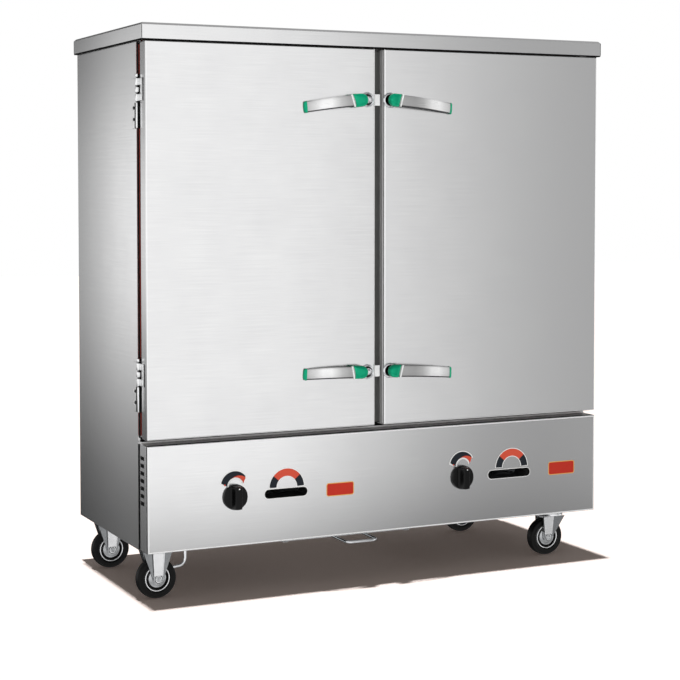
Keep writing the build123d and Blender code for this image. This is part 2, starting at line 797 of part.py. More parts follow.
for side, s in sides:
    outer_x = s * door_outer_x
    meeting_x = meeting_left if s < 0 else meeting_right
    door_low, door_high = sorted((outer_x, meeting_x))
    inner_y = face_y + door_thickness
    with BuildPart() as door_skin:
        block((door_low, face_y, door_bottom), (door_high, inner_y, door_top))
        fillet(door_skin.faces().sort_by(Axis.Y)[0].edges(), edge_radius)
        block(
            (door_low + door_sheet, face_y + door_sheet, door_bottom + door_sheet),
            (door_high - door_sheet, inner_y + overrun, door_top - door_sheet),
            mode=Mode.SUBTRACT,
        )
    save(door_skin, f"door_skin_{side}")

    with BuildPart() as door_inner:
        block(
            (door_low + door_sheet, face_y + door_sheet, door_bottom + door_sheet),
            (door_high - door_sheet, inner_y, door_top - door_sheet),
        )
        with BuildSketch(front(inner_y)):
            with Locations(((door_low + door_high) / 2, (door_bottom + door_top) / 2)):
                Rectangle(
                    door_high - door_low - inner_inset * 2,
                    door_top - door_bottom - inner_inset * 2,
                )
        extrude(amount=-inner_lift, taper=math.degrees(math.atan(sheet / inner_lift)))
    save(door_inner, f"door_inner_{side}")

    with BuildPart() as door_gasket:
        middle = ((door_low + door_high) / 2, (door_bottom + door_top) / 2)
        span = (door_high - door_low - gasket_inset * 2, door_top - door_bottom - gasket_inset * 2)
        with BuildSketch(front(inner_y)):
            with Locations(middle):
                Rectangle(*span)
                Rectangle(span[0] - gasket_width * 2, span[1] - gasket_width * 2, mode=Mode.SUBTRACT)
        extrude(amount=-gasket_base)
        bulb_inset = (gasket_width - gasket_bulb_width) / 2
        bulb_span = (span[0] - bulb_inset * 2, span[1] - bulb_inset * 2)
        with BuildSketch(front(inner_y + gasket_base)):
            with Locations(middle):
                Rectangle(*bulb_span)
                Rectangle(
                    bulb_span[0] - gasket_bulb_width * 2,
                    bulb_span[1] - gasket_bulb_width * 2,
                    mode=Mode.SUBTRACT,
                )
        extrude(amount=inner_y + gasket_base - gasket_face_y)
        chamfer(door_gasket.faces().sort_by(Axis.Y)[-1].edges(), gasket_bulb_radius)
    save(door_gasket, f"door_gasket_{side}")

    pin_x = s * hinge_x
    leaf_in_x = outer_x
    with BuildPart() as door_hinge_leaves:
        for low in hinge_heights:
            leaf_low = low + leaf_start
            leaf_high = leaf_low + leaf_height
            tongue_low = (leaf_low + leaf_high - tongue_height) / 2 - knuckle_gap
            tongue_high = (leaf_low + leaf_high + tongue_height) / 2 + knuckle_gap
            with BuildSketch(Plane.YZ.offset(leaf_in_x)):
                with BuildLine():
                    Polyline(
                        (face_y + door_thickness - leaf_reach, leaf_low),
                        (hinge_y, leaf_low),
                        (hinge_y, tongue_low),
                        (inner_y, tongue_low),
                        (inner_y, tongue_high),
                        (hinge_y, tongue_high),
                        (hinge_y, leaf_high),
                        (face_y + door_thickness - leaf_reach, leaf_high),
                        close=True,
                    )
                make_face()
            extrude(amount=s * leaf_thickness)
            rod_z(pin_x, hinge_y, leaf_low, tongue_low, knuckle_radius)
            rod_z(pin_x, hinge_y, tongue_high, leaf_high, knuckle_radius)
            rod_z(
                pin_x,
                hinge_y,
                leaf_low - overrun,
                leaf_high + overrun,
                pin_radius + running_clearance,
                mode=Mode.SUBTRACT,
            )
    save(door_hinge_leaves, f"door_hinge_leaves_{side}")

    pivot_x = meeting_x + s * latch_inset
    with BuildPart() as latch_bases:
        for pivot_z in latch_heights:
            with BuildSketch(front(face_y)):
                with Locations((pivot_x, pivot_z)):
                    Circle(latch_disc_radius)
            with BuildSketch(front(face_y - latch_disc_height)):
                with Locations((pivot_x, pivot_z)):
                    Circle(latch_boss_radius)
            loft()
            rod_y(pivot_x, pivot_z, face_y - latch_disc_height, face_y - band_root, post_radius)
    save(latch_bases, f"latch_bases_{side}")

# Hinge parts that stay on the cabinet

with BuildPart() as hinge_plates:
    for _, s in sides:
        pin_x = s * hinge_x
        for low in hinge_heights:
            leaf_low = low + leaf_start
            leaf_high = leaf_low + leaf_height
            tongue_low = (leaf_low + leaf_high - tongue_height) / 2
            spans = (
                (low, leaf_low - knuckle_gap),
                (tongue_low, tongue_low + tongue_height),
            )
            block(
                (s * half_width, frame_y + fit_gap, low),
                (s * (half_width + leaf_thickness), frame_y + plate_reach, leaf_high),
            )
            for span_low, span_high in spans:
                rod_z(pin_x, hinge_y, span_low, span_high, knuckle_radius)
                block(
                    (s * (half_width + fit_gap), hinge_y, span_low),
                    (s * (half_width + leaf_thickness), frame_y + fit_gap * 2, span_high),
                )
            rod_z(pin_x, hinge_y, low, leaf_high, pin_radius, mode=Mode.SUBTRACT)
save(hinge_plates, "hinge_plates")

with BuildPart() as hinge_pins:
    for _, s in sides:
        for low in hinge_heights:
            leaf_high = low + leaf_start + leaf_height
            head_low = leaf_high + knuckle_gap
            rod_z(s * hinge_x, hinge_y, low, head_low, pin_radius)
            rod_z(s * hinge_x, hinge_y, head_low, head_low + cap_height, knuckle_radius)
save(hinge_pins, "hinge_pins")

# Latch levers, their green mouldings and the keepers on the mullion

for side, s in sides:
    meeting_x = meeting_left if s < 0 else meeting_right
    pivot_x = meeting_x + s * latch_inset
    for level, pivot_z, droop in zip(("lower", "upper"), latch_heights, latch_droops):
        hub_back_y = face_y - lever_back
        hub_front_y = face_y - band_root
        half_height = band_height / 2
        tip_half = band_end_height / 2
        strip_y = hub_front_y
        with BuildPart() as latch_lever:
            with BuildSketch(front(hub_back_y + overrun)):
                with BuildLine():
                    upper_edge = ThreePointArc(
                        (root_length, half_height),
                        ((root_length + band_length) / 2, half_height - band_sag / 4),
                        (band_length, tip_half - band_sag),
                    )
                    Line(upper_edge @ 1, (band_length, -tip_half - band_sag))
                    lower_edge = ThreePointArc(
                        (band_length, -tip_half - band_sag),
                        ((root_length + band_length) / 2, -half_height - band_sag / 4),
                        (root_length, -half_height),
                    )
                    Polyline(
                        lower_edge @ 1,
                        (root_length, -root_height / 2),
                        (0, -root_height / 2),
                        (0, root_height / 2),
                        (root_length, root_height / 2),
                        upper_edge @ 0,
                    )
                make_face()
            extrude(amount=handle_reach * 2)
            with BuildSketch(Plane.XY.offset(-band_length)):
                with BuildLine():
                    outer_bow = ThreePointArc(
                        (root_length, strip_y - band_thickness),
                        ((root_length + band_length) / 2, strip_y - band_thickness - band_bow),
                        (band_length, strip_y - band_thickness + band_end_drop),
                    )
                    Line(outer_bow @ 1, (band_length, strip_y + band_end_drop))
                    inner_bow = ThreePointArc(
                        (band_length, strip_y + band_end_drop),
                        ((root_length + band_length) / 2, strip_y - band_bow),
                        (root_length, strip_y),
                    )
                    Polyline(
                        inner_bow @ 1,
                        (0, strip_y),
                        (0, strip_y - band_thickness),
                        outer_bow @ 0,
                    )
                make_face()
            extrude(amount=band_length * 2, mode=Mode.INTERSECT)
            rod_y(0, 0, hub_back_y, hub_front_y - band_thickness, hub_radius)
            tongue_reach = latch_inset + meeting_gap / 2 - tongue_clearance
            block(
                (-tongue_reach, hub_back_y, -tongue_width / 2),
                (0, hub_back_y - tongue_thickness, tongue_width / 2),
            )
            bore_radius = post_radius + running_clearance
            rod_y(0, 0, hub_back_y + overrun, hub_front_y, bore_radius, mode=Mode.SUBTRACT)
        with BuildPart() as latch_grip:
            with BuildSketch(front(hub_back_y - grip_back)):
                with BuildLine():
                    round_end = ThreePointArc(
                        (0, grip_height / 2),
                        (-grip_radius, 0),
                        (0, -grip_height / 2),
                    )
                    Polyline(
                        round_end @ 1,
                        (grip_length - cap_wall, -grip_height / 2),
                        (grip_length, grip_height / 2),
                        round_end @ 0,
                    )
                make_face()
            extrude(amount=handle_reach - lever_back - grip_back - cap_wall)
            grip_front = latch_grip.faces().sort_by(Axis.Y)[0]
            extrude(grip_front, amount=cap_wall, taper=grip_edge_angle)
            with BuildSketch(front(strip_y + band_end_drop + cap_wall)):
                with Locations((band_length - cap_length / 2 + cap_wall / 2, -band_sag)):
                    Rectangle(cap_length + cap_wall, band_end_height + cap_wall * 2)
            extrude(amount=band_thickness + cap_wall * 2 + cap_length / 2)
            add(latch_lever.part, mode=Mode.SUBTRACT)
            rod_y(0, 0, hub_back_y, hub_front_y, hub_radius, mode=Mode.SUBTRACT)
        for made, kind in ((latch_lever, "lever"), (latch_grip, "grip")):
            piece = made.part.rotate(Axis.Y, droop)
            if s < 0:
                piece = mirror(piece, about=Plane.YZ)
            piece = piece.moved(Location((pivot_x, 0, pivot_z)))
            name = f"latch_{kind}_{level}_{side}"
            piece.label = name
            export_step(piece, f"parts/{name}.step")

with BuildPart() as keepers:
    for keeper_z in latch_heights:
        head_y = face_y - lever_back + knuckle_gap
        for half_x, y0, y1, half_z in (
            (keeper_foot / 2, frame_y - keeper_foot_thick, frame_y, keeper_foot_tall / 2),
            (keeper_neck / 2, head_y + keeper_head, frame_y - keeper_foot_thick, keeper_tall / 2),
            (keeper_width / 2, head_y, head_y + keeper_head, keeper_tall / 2),
        ):
            block(
                (meeting_offset - half_x, y0, keeper_z - half_z),
                (meeting_offset + half_x, y1, keeper_z + half_z),
            )
save(keepers, "keepers")

# Knobs

for (knob_x, _), (side, _) in zip(knob_places, sides):
    back = face_y - knob_gap
    with BuildPart() as knob:
        with BuildSketch(front(back)):
            with Locations((knob_x, knob_z)):
                Circle(knob_radius)
        extrude(amount=knob_skirt)
        with BuildSketch(front(back - knob_skirt)):
            with Locations((knob_x, knob_z)):
                Circle(knob_radius - knob_step)
                Rectangle(knob_bar_width, knob_bar_length, mode=Mode.INTERSECT)
        extrude(amount=knob_height - knob_skirt)
        chamfer(knob.faces().sort_by(Axis.Y)[0].edges().filter_by(GeomType.LINE), knob_step)
        rod_y(
            knob_x,
            knob_z,
            back + overrun,
            back - knob_bore_depth - knob_gap,
            stem_radius + running_clearance,
            mode=Mode.SUBTRACT,
        )
    save(knob, f"knob_{side}")

# Drip tray with its wire pull, and the runners that carry it

tray_front_y = face_y + tray_setback
tray_back_y = tray_front_y + tray_length
half_tray = tray_width / 2
tray_top = tray_floor + tray_height
pan_half = half_tray - tray_sheet
with BuildPart() as drip_tray:
    block(
        (tray_centre - half_tray, tray_front_y, tray_floor),
        (tray_centre + half_tray, tray_back_y, tray_top),
    )
    block(
        (tray_centre - pan_half, tray_front_y + tray_sheet, tray_floor + tray_sheet),
        (tray_centre + pan_half, tray_back_y - tray_sheet, tray_top + overrun),
        mode=Mode.SUBTRACT,
    )
    with BuildLine() as pull_path:
        Polyline(
            (tray_centre - wire_width / 2, tray_front_y, wire_height),
            (tray_centre - wire_width / 2, face_y + wire_bend, wire_height),
            (tray_centre - wire_width / 2 + wire_bend, face_y, wire_height),
            (tray_centre + wire_width / 2 - wire_bend, face_y, wire_height),
            (tray_centre + wire_width / 2, face_y + wire_bend, wire_height),
            (tray_centre + wire_width / 2, tray_front_y, wire_height),
        )
    with BuildSketch(Plane(origin=pull_path.line @ 0, z_dir=pull_path.line % 0)):
        Circle(wire_radius)
    sweep(transition=Transition.RIGHT)
save(drip_tray, "drip_tray")

with BuildPart() as tray_runners:
    for _, t in sides:
        web_in = tray_centre + t * (half_tray + fit_gap)
        web_out = web_in + t * runner_sheet
        with BuildSketch(front(tray_front_y)):
            with BuildLine():
                Polyline(
                    (web_out, frame_bottom),
                    (web_out + t * tray_bar / 2, frame_bottom),
                    (web_out + t * tray_bar / 2, frame_bottom - runner_sheet),
                    (web_out, frame_bottom - runner_sheet),
                    (web_out, tray_floor - fit_gap - runner_sheet),
                    (web_in - t * runner_lip, tray_floor - fit_gap - runner_sheet),
                    (web_in - t * runner_lip, tray_floor - fit_gap),
                    (web_in, tray_floor - fit_gap),
                    (web_in, frame_bottom),
                    close=True,
                )
            make_face()
        extrude(amount=-tray_length)
save(tray_runners, "tray_runners")

# Bent rod under the front rail, beside the front left caster

with BuildPart() as bent_rod:
    rod_y_place = face_y + rod_setback
    with BuildLine() as rod_path:
        rod_top_x = rod_inset - half_width
        bend_third = rod_bend / 3
        Polyline(
            (rod_top_x, rod_y_place, frame_bottom),
            (rod_top_x, rod_y_place, rod_tip_height + rod_bend),
            (rod_top_x - bend_third, rod_y_place, rod_tip_height + bend_third),
            (rod_top_x - rod_bend, rod_y_place, rod_tip_height),
            (rod_top_x - rod_reach, rod_y_place, rod_tip_height - rod_radius),
        )
    with BuildSketch(Plane(origin=rod_path.line @ 0, z_dir=rod_path.line % 0)):
        Circle(rod_radius)
    sweep(transition=Transition.RIGHT)
save(bent_rod, "bent_rod")

# Casters

axle_z = wheel_radius
leg_inner = hub_width / 2 + fork_side_gap
leg_outer = leg_inner + fork_steel
plate_top = frame_bottom
plate_bottom = plate_top - caster_plate
caster_rows = (("front", front_axle_y), ("rear", rear_axle_y))


def top_plate(x, y):
    """A caster's mounting plate with its four square holes for coach bolts."""
    with BuildSketch(Plane.XY.offset(plate_bottom)) as outline:
        with Locations((x, y)):
            Rectangle(caster_plate_length, caster_plate_width)
            with GridLocations(bolt_spacing_x, bolt_spacing_y, 2, 2):
                Rectangle(bolt_hole, bolt_hole, mode=Mode.SUBTRACT)
    extrude(outline.sketch, amount=caster_plate)


def fork_legs(axle_x, axle_y, top_x, top_z):
    """Two pressed legs with a raised rib, and the riveted axle between them."""
    half_top = fork_top / 2
    half_low = fork_bottom / 2
    for t in (-1, 1):
        with BuildSketch(front(axle_y + t * leg_inner)) as leg:
            with BuildLine():
                Polyline(
                    (axle_x - half_low, axle_z),
                    (top_x - half_top, top_z),
                    (top_x + half_top, top_z),
                    (axle_x + half_low, axle_z),
                )
                ThreePointArc(
                    (axle_x + half_low, axle_z),
                    (axle_x, axle_z - half_low),
                    (axle_x - half_low, axle_z),
                )
            make_face()
        extrude(leg.sketch, amount=-t * fork_steel)
        with BuildSketch(front(axle_y + t * leg_outer)) as rib:
            with BuildLine():
                Polyline(
                    (axle_x - half_low + fork_rib_rise, axle_z),
                    (axle_x - half_low + fork_rib_rise, top_z),
                    (axle_x + fork_rib_width - half_low, top_z),
                    (axle_x + half_low - fork_rib_rise, axle_z),
                    close=True,
                )
            make_face()
        extrude(rib.sketch, amount=-t * fork_rib_rise)
        rod_y(
            axle_x,
            axle_z,
            axle_y + t * leg_outer,
            axle_y + t * (leg_outer + axle_head_height),
            axle_head_radius,
        )
    rod_y(axle_x, axle_z, axle_y - leg_outer, axle_y + leg_outer, axle_radius)


with BuildPart() as rigid_forks:
    for _, axle_y in caster_rows:
        top_plate(rigid_x, axle_y)
        fork_legs(rigid_x, axle_y, rigid_x, plate_bottom)
save(rigid_forks, "rigid_forks")

crown_top = plate_bottom - race_height - race_gap
wheel_places = {
    "front_left": (rigid_x, front_axle_y),
    "rear_left": (rigid_x, rear_axle_y),
    "front_right": (swivel_front_x - caster_trail, front_axle_y),
    "rear_right": (swivel_rear_x - caster_trail, rear_axle_y),
}
swivels = (("front", swivel_front_x, front_axle_y), ("rear", swivel_rear_x, rear_axle_y))

with BuildPart() as swivel_plates:
    for _, swivel_x, swivel_y in swivels:
        top_plate(swivel_x, swivel_y)
        rod_z(swivel_x, swivel_y, plate_bottom - race_height, plate_bottom, race_radius)
        rod_z(
            swivel_x,
            swivel_y,
            crown_top - fork_crown_height - race_step,
            plate_bottom,
            kingpin_radius,
        )
save(swivel_plates, "swivel_plates")

for row, swivel_x, swivel_y in swivels:
    axle_x = swivel_x - caster_trail
    with BuildPart() as swivel_fork:
        rod_z(swivel_x, swivel_y, crown_top - race_step, crown_top, race_radius + race_step / 2)
        with BuildSketch(Plane.XY.offset(crown_top - race_step - fork_crown_height)):
            with Locations((swivel_x - caster_trail / 2, swivel_y)):
                Rectangle(fork_top, leg_outer * 2)
        extrude(amount=fork_crown_height)
        fork_legs(axle_x, swivel_y, swivel_x - caster_trail / 2, crown_top - race_step)
        rod_z(
            swivel_x,
            swivel_y,
            axle_z,
            plate_top,
            kingpin_radius + running_clearance,
            mode=Mode.SUBTRACT,
        )
    save(swivel_fork, f"swivel_fork_{row}")

for place, (wheel_x, wheel_y) in wheel_places.items():
    wheel_plane = Plane(origin=(wheel_x, wheel_y, axle_z), x_dir=(1, 0, 0), z_dir=(0, 0, 1))
    axle_line = Axis((wheel_x, wheel_y, axle_z), (0, 1, 0))
    half_rim = rim_width / 2
    dish = half_rim - rim_dish_depth
    with BuildPart() as wheel_rim:
        with BuildSketch(wheel_plane):
            with BuildLine():
                Polyline(
                    (axle_radius + running_clearance, hub_width / 2),
                    (hub_face_radius, hub_width / 2),
                    (hub_face_radius, dish),
                    (rim_radius - rim_lip, dish),
                    (rim_radius - rim_lip, half_rim),
                    (rim_radius, half_rim),
                    (rim_radius, 0),
                    (axle_radius + running_clearance, 0),
                    close=True,
                )
            make_face()
            mirror(about=Plane.XZ)
        revolve(axis=axle_line)
    save(wheel_rim, f"wheel_rim_{place}")

    half_tyre = tyre_width / 2
    with BuildPart() as tyre:
        with BuildSketch(wheel_plane):
            with BuildLine():
                Polyline(
                    (rim_radius, 0),
                    (rim_radius, half_rim),
                    (wheel_radius - tyre_shoulder, half_tyre),
                    (wheel_radius, half_tyre - tyre_shoulder_width),
                    (wheel_radius, 0),
                    close=True,
                )
            make_face()
            mirror(about=Plane.XZ)
        revolve(axis=axle_line)
    save(tyre, f"tyre_{place}")
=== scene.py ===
"""Looks of a two-door gas steaming cabinet on casters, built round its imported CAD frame."""

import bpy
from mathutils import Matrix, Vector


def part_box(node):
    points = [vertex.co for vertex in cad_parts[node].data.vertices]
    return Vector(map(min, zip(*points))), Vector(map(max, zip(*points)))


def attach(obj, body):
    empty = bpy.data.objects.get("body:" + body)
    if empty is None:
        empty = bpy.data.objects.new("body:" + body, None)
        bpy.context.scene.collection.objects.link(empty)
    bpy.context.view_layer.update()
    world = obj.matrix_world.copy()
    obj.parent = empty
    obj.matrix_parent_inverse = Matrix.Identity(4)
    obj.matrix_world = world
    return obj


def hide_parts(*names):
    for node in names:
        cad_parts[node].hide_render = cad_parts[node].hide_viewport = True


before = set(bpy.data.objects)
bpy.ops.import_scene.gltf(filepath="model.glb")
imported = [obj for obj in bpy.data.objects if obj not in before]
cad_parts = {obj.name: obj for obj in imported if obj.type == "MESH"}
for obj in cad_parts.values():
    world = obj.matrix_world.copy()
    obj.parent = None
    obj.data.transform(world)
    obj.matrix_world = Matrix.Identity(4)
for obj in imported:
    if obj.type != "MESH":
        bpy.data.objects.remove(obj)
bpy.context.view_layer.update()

import logging
from dataclasses import dataclass, replace
from enum import Enum

import bmesh
import bpy
import numpy as np

# Metres in a millimetre
MM = 0.001
# Points closer than this, in metres, become one
MERGE = 2e-6
# Edges that turn by more than this stay sharp
SHARP_TURN = np.radians(38.0)
# Films and strips begin this far under the face that they lie on, in millimetres
SUNK = -0.1
# Inset and rise of the ring that keeps a flat front's shading flat
FLAT_RING = (0.3, 0.0)
# Rings of a wire's domed end, and the dome's height as a share of the radius
DOME_RINGS, DOME_SHARE = 5, 0.6
Array = np.ndarray
# Directions of a rectangle's corners, counter-clockwise
CORNERS = np.array([[1, 1], [-1, 1], [-1, -1], [1, -1]])
log = logging.getLogger("cabinet")


# Shapes: every surface is a grid of points worked out from a formula


class Facing(Enum):
    """The side that a piece faces: its right, up and outward directions."""

    FRONT = ((1, 0, 0), (0, 0, 1), (0, -1, 0))
    BACK = ((-1, 0, 0), (0, 0, 1), (0, 1, 0))
    LEFT = ((0, -1, 0), (0, 0, 1), (-1, 0, 0))
    RIGHT = ((0, 1, 0), (0, 0, 1), (1, 0, 0))
    TOP = ((1, 0, 0), (0, 1, 0), (0, 0, 1))
    UNDER = ((-1, 0, 0), (0, 1, 0), (0, 0, -1))


@dataclass(frozen=True)
class Place:
    """A spot on the cabinet with its own right, up and outward directions, in millimetres."""

    x: float
    y: float
    z: float
    facing: Facing = Facing.FRONT
    turn: float = 0.0
    flip: float = 1.0

    def put(self, a: Array, b: Array, c: Array) -> Array:
        """Points at a to the right, b up and c outwards, turned in the face by the turn.

        Args:
            a: Distances to the right, before a flip to the other hand.
            b: Distances up.
            c: Distances outwards.

        Returns:
            The points, with their three coordinates on the last axis.
        """
        right, up, out = (np.array(v, float) for v in self.facing.value)
        a, b, c = np.broadcast_arrays(np.asarray(a, float), b, c)
        angle = np.radians(self.turn)
        along = (a * np.cos(angle) - b * np.sin(angle)) * self.flip
        above = a * np.sin(angle) + b * np.cos(angle)
        spot = np.array([self.x, self.y, self.z])
        return spot + along[..., None] * right + above[..., None] * up + c[..., None] * out


def rounded_loop(width: float, height: float, radius: float, steps: int = 6) -> Array:
    """Outline of a rounded rectangle: a quarter circle about each corner's centre in turn.

    Args:
        width: Size to the right.
        height: Size up.
        radius: Corner radius.
        steps: Divisions of each quarter circle.

    Returns:
        Points of the outline, counter-clockwise.
    """
    radius = min(radius, min(width, height) / 2 * 0.999)
    quarters = np.linspace(0, np.pi / 2, steps + 1) + np.arange(4)[:, None] * np.pi / 2
    centres = CORNERS * [width / 2 - radius, height / 2 - radius]
    return (centres[:, None] + radius * on_circle(quarters)).reshape(-1, 2)


def on_circle(turn: Array) -> Array:
    """Points of the unit circle at the angles: the cosine and the sine of each."""
    return np.stack((np.cos(turn), np.sin(turn)), -1)


def ring_loop(radius: float, count: int) -> Array:
    """Outline of a circle with count points, counter-clockwise."""
    return radius * on_circle(np.linspace(0, 2 * np.pi, count, endpoint=False))


def inset(loop: Array, amounts: Array) -> Array:
    """An outline moved inwards: each point goes against its outward normal by each amount.

    Args:
        loop: Closed outline, counter-clockwise.
        amounts: One distance for each ring that is wanted.

    Returns:
        One ring for each amount.
    """
    along = np.roll(loop, -1, 0) - np.roll(loop, 1, 0)
    length = np.maximum(np.linalg.norm(along, axis=1, keepdims=True), 1e-9)
    out = np.stack((along[:, 1], -along[:, 0]), -1) / length
    return loop - out * np.asarray(amounts, float)[:, None, None]


def rim(back: float, front: float, radius: float, steps: int = 5, under: float = 0.0) -> Array:
    """Edge profile of a plate: up from its back and round a quarter circle to its front.

    Args:
        back: Height of the back.
        front: Height of the front.
        radius: Radius of the front edge.
        steps: Divisions of the quarter circle.
        under: Radius of the back edge, drawn as a bevel.

    Returns:
        Rows of inset and height.
    """
    turn = np.linspace(0, np.pi / 2, steps + 1)
    edge = np.stack((radius * (1 - np.cos(turn)), front - radius + radius * np.sin(turn)), -1)
    foot = [[under, back], [0.0, back + under]] if under else [[0.0, back]]
    return np.vstack((foot, edge))


def with_middles(rings: Array) -> Array:
    """Rings with one more at each end, drawn together in its middle, which closes both ends."""
    first, last = (np.broadcast_to(ring.mean(0), ring.shape)[None] for ring in (rings[0], rings[-1]))
    return np.concatenate((first, rings, last))


def capped(rings: Array, place: Place, heights: Array) -> Array:
    """Outlines stacked at the heights, drawn to the middle of the first and last.

    Args:
        rings: The outlines, from the back to the front.
        place: Where they stand.
        heights: Height of each outline.

    Returns:
        The grid of points.
    """
    rings = with_middles(rings)
    heights = np.concatenate((heights[:1], heights, heights[-1:]))
    return place.put(rings[..., 0], rings[..., 1], heights[:, None])


def slab(loop: Array, place: Place, profile: Array) -> Array:
    """A plate: its outline inset and raised as the profile says, drawn to its middle at both ends.

    One more ring just inside the last keeps the flat front's shading flat.

    Args:
        loop: Outline, counter-clockwise.
        place: Where the plate lies.
        profile: Rows of inset and height.

    Returns:
        The grid of points.
    """
    profile = np.vstack((profile, profile[-1:] + FLAT_RING))
    return capped(inset(loop, profile[:, 0]), place, profile[:, 1])


def nested(width: float, height: float, radius: float, sides: Array) -> Array:
    """Rounded rectangles one inside the other, each side moved in by its own amount.

    Args:
        width: Size to the right of the outermost.
        height: Size up of the outermost.
        radius: Corner radius of the outermost, smaller inside but never under 0.4.
        sides: Rows of amounts for the left, right, bottom and top sides.

    Returns:
        One outline for each row.
    """
    rings = []
    for left, right, low, high in np.asarray(sides, float):
        ring = rounded_loop(width - left - right, height - low - high, max(radius - min(left, right), 0.4))
        rings.append(ring + [(left - right) / 2, (low - high) / 2])
    return np.array(rings)


def roll(depths: Array, inward: float, backward: float) -> Array:
    """How far a rolled edge stands in at each depth: a quarter ellipse from its side to its face."""
    share = np.clip(1 - depths / backward, 0, 1)
    return inward * (1 - np.sqrt(1 - share**2))


def pillow(loop: Array, place: Place, back: float, front: float, power: float, rows: int = 12) -> Array:
    """A crowned block: the outline shrinks to its middle along a superellipse quarter.

    The share of the outline is sin(t) to the power 2/p and the share of the height is cos(t)
    to the power 2/p, for t from a quarter turn down to zero.

    Args:
        loop: Outline at the widest, counter-clockwise.
        place: Where the block stands.
        back: Height of its flat back.
        front: Height of its crown.
        power: The superellipse's p, larger for a flatter front.
        rows: Rings of the crown.

    Returns:
        The grid of points.
    """
    turn = np.linspace(np.pi / 2, 0, rows + 1)
    share = np.sin(turn) ** (2 / power)
    height = back + (front - back) * np.cos(turn) ** (2 / power)
    middle = loop.mean(0)
    share = np.concatenate(([0.0], share))[:, None, None]
    rings = middle + (loop - middle) * share
    return place.put(rings[..., 0], rings[..., 1], np.concatenate(([back], height))[:, None])


def lathe(profile: Array, place: Place, count: int = 64) -> Array:
    """A turned body: each radius and height of the profile goes once round the place's outward line.

    Args:
        profile: Rows of radius and height.
        place: Where the body stands.
        count: Points of a ring.

    Returns:
        The grid of points.
    """
    turn = np.linspace(0, 2 * np.pi, count, endpoint=False)
    profile = np.asarray(profile, float)
    radius, height = profile[:, :1], profile[:, 1:]
    return place.put(radius * np.cos(turn), radius * np.sin(turn), height)


def mitred_frame(width: float, height: float, section: Array, place: Place) -> Array:
    """A picture frame: the section stands on each corner, pushed out along both sides alike.

    Args:
        width: Width of the line that the section follows.
        height: Height of that line.
        section: Closed loop of outward distance and height.
        place: Middle of the frame.

    Returns:
        The grid, one row to a corner.
    """
    half = np.array([width / 2, height / 2])
    spots = CORNERS[:, None] * (half + section[None, :, :1])
    return place.put(spots[..., 0], spots[..., 1], section[None, :, 1])


def bent_path(points: Array, radius: float, steps: int = 8) -> Array:
    """A polyline with its corners turned to arcs of the radius, each a slerp between its ends.

    Args:
        points: Corner points in millimetres.
        radius: Radius of each bend.
        steps: Divisions of a bend.

    Returns:
        Points along the path.
    """
    points = np.asarray(points, float)
    back = points[:-2] - points[1:-1]
    ahead = points[2:] - points[1:-1]
    back /= np.linalg.norm(back, axis=1, keepdims=True)
    ahead /= np.linalg.norm(ahead, axis=1, keepdims=True)
    half = np.arccos(np.clip((back * ahead).sum(1), -1, 1))[:, None] / 2
    middle = (back + ahead) / np.linalg.norm(back + ahead, axis=1, keepdims=True)
    centre = points[1:-1] + middle * radius / np.sin(half)
    start = points[1:-1] + back * radius / np.tan(half) - centre
    end = points[1:-1] + ahead * radius / np.tan(half) - centre
    sweep = np.pi - 2 * half[:, :, None]
    share = np.linspace(0, 1, steps + 1)[None, :, None]
    arcs = np.sin((1 - share) * sweep) * start[:, None] + np.sin(share * sweep) * end[:, None]
    arcs = centre[:, None] + arcs / np.sin(sweep)
    return np.vstack((points[:1], arcs.reshape(-1, 3), points[-1:]))


def tube(path: Array, radius: float, flat: tuple[float, float, float], count: int = 16) -> Array:
    """A round wire along a path that lies in one plane, with domed ends.

    Each ring stands across the path. At both ends the radius follows a quarter circle while
    the ring moves out along the path by six tenths of the sine of the same turn.

    Args:
        path: Points in millimetres.
        radius: Radius of the wire.
        flat: Normal of the plane that the path lies in.
        count: Points of a ring.

    Returns:
        The grid of points.
    """
    along = np.gradient(path, axis=0)
    along /= np.linalg.norm(along, axis=1, keepdims=True)
    turn = np.linspace(np.pi / 2, 0, DOME_RINGS)
    dome = radius * np.sin(turn)[:, None] * DOME_SHARE
    head = path[:1] - along[:1] * dome
    tail = path[-1:] + along[-1:] * dome[::-1]
    line = np.vstack((head, path[1:-1], tail))
    size = np.concatenate((np.cos(turn), np.ones(len(path) - 2), np.cos(turn[::-1]))) * radius
    ends = (np.repeat(way, DOME_RINGS, 0) for way in (along[:1], along[-1:]))
    first, last = ends
    along = np.vstack((first, along[1:-1], last))
    lift = np.broadcast_to(np.array(flat, float), along.shape)
    side = np.cross(lift, along)
    angle = np.linspace(0, 2 * np.pi, count, endpoint=False)[None, :, None]
    round_ring = side[:, None] * np.cos(angle) + lift[:, None] * np.sin(angle)
    return line[:, None] + round_ring * size[:, None, None]


def strip(inner: Array, outer: Array, place: Place, back: float, front: float) -> list[Array]:
    """A flat band between two edge lines, with its thickness and its two end walls.

    Args:
        inner: Points of one edge.
        outer: Points of the other edge, in step with the first.
        place: Where the band lies.
        back: Height of its back.
        front: Height of its front.

    Returns:
        The wrap round the band, and its ends.
    """
    wrap = np.stack((inner, outer, outer, inner), 1)
    heights = np.array([back, back, front, front])
    grid = place.put(wrap[..., 0], wrap[..., 1], heights)
    ends = [grid[end][[[0, 1], [3, 2]]] for end in (0, -1)]
    return [grid, *ends]


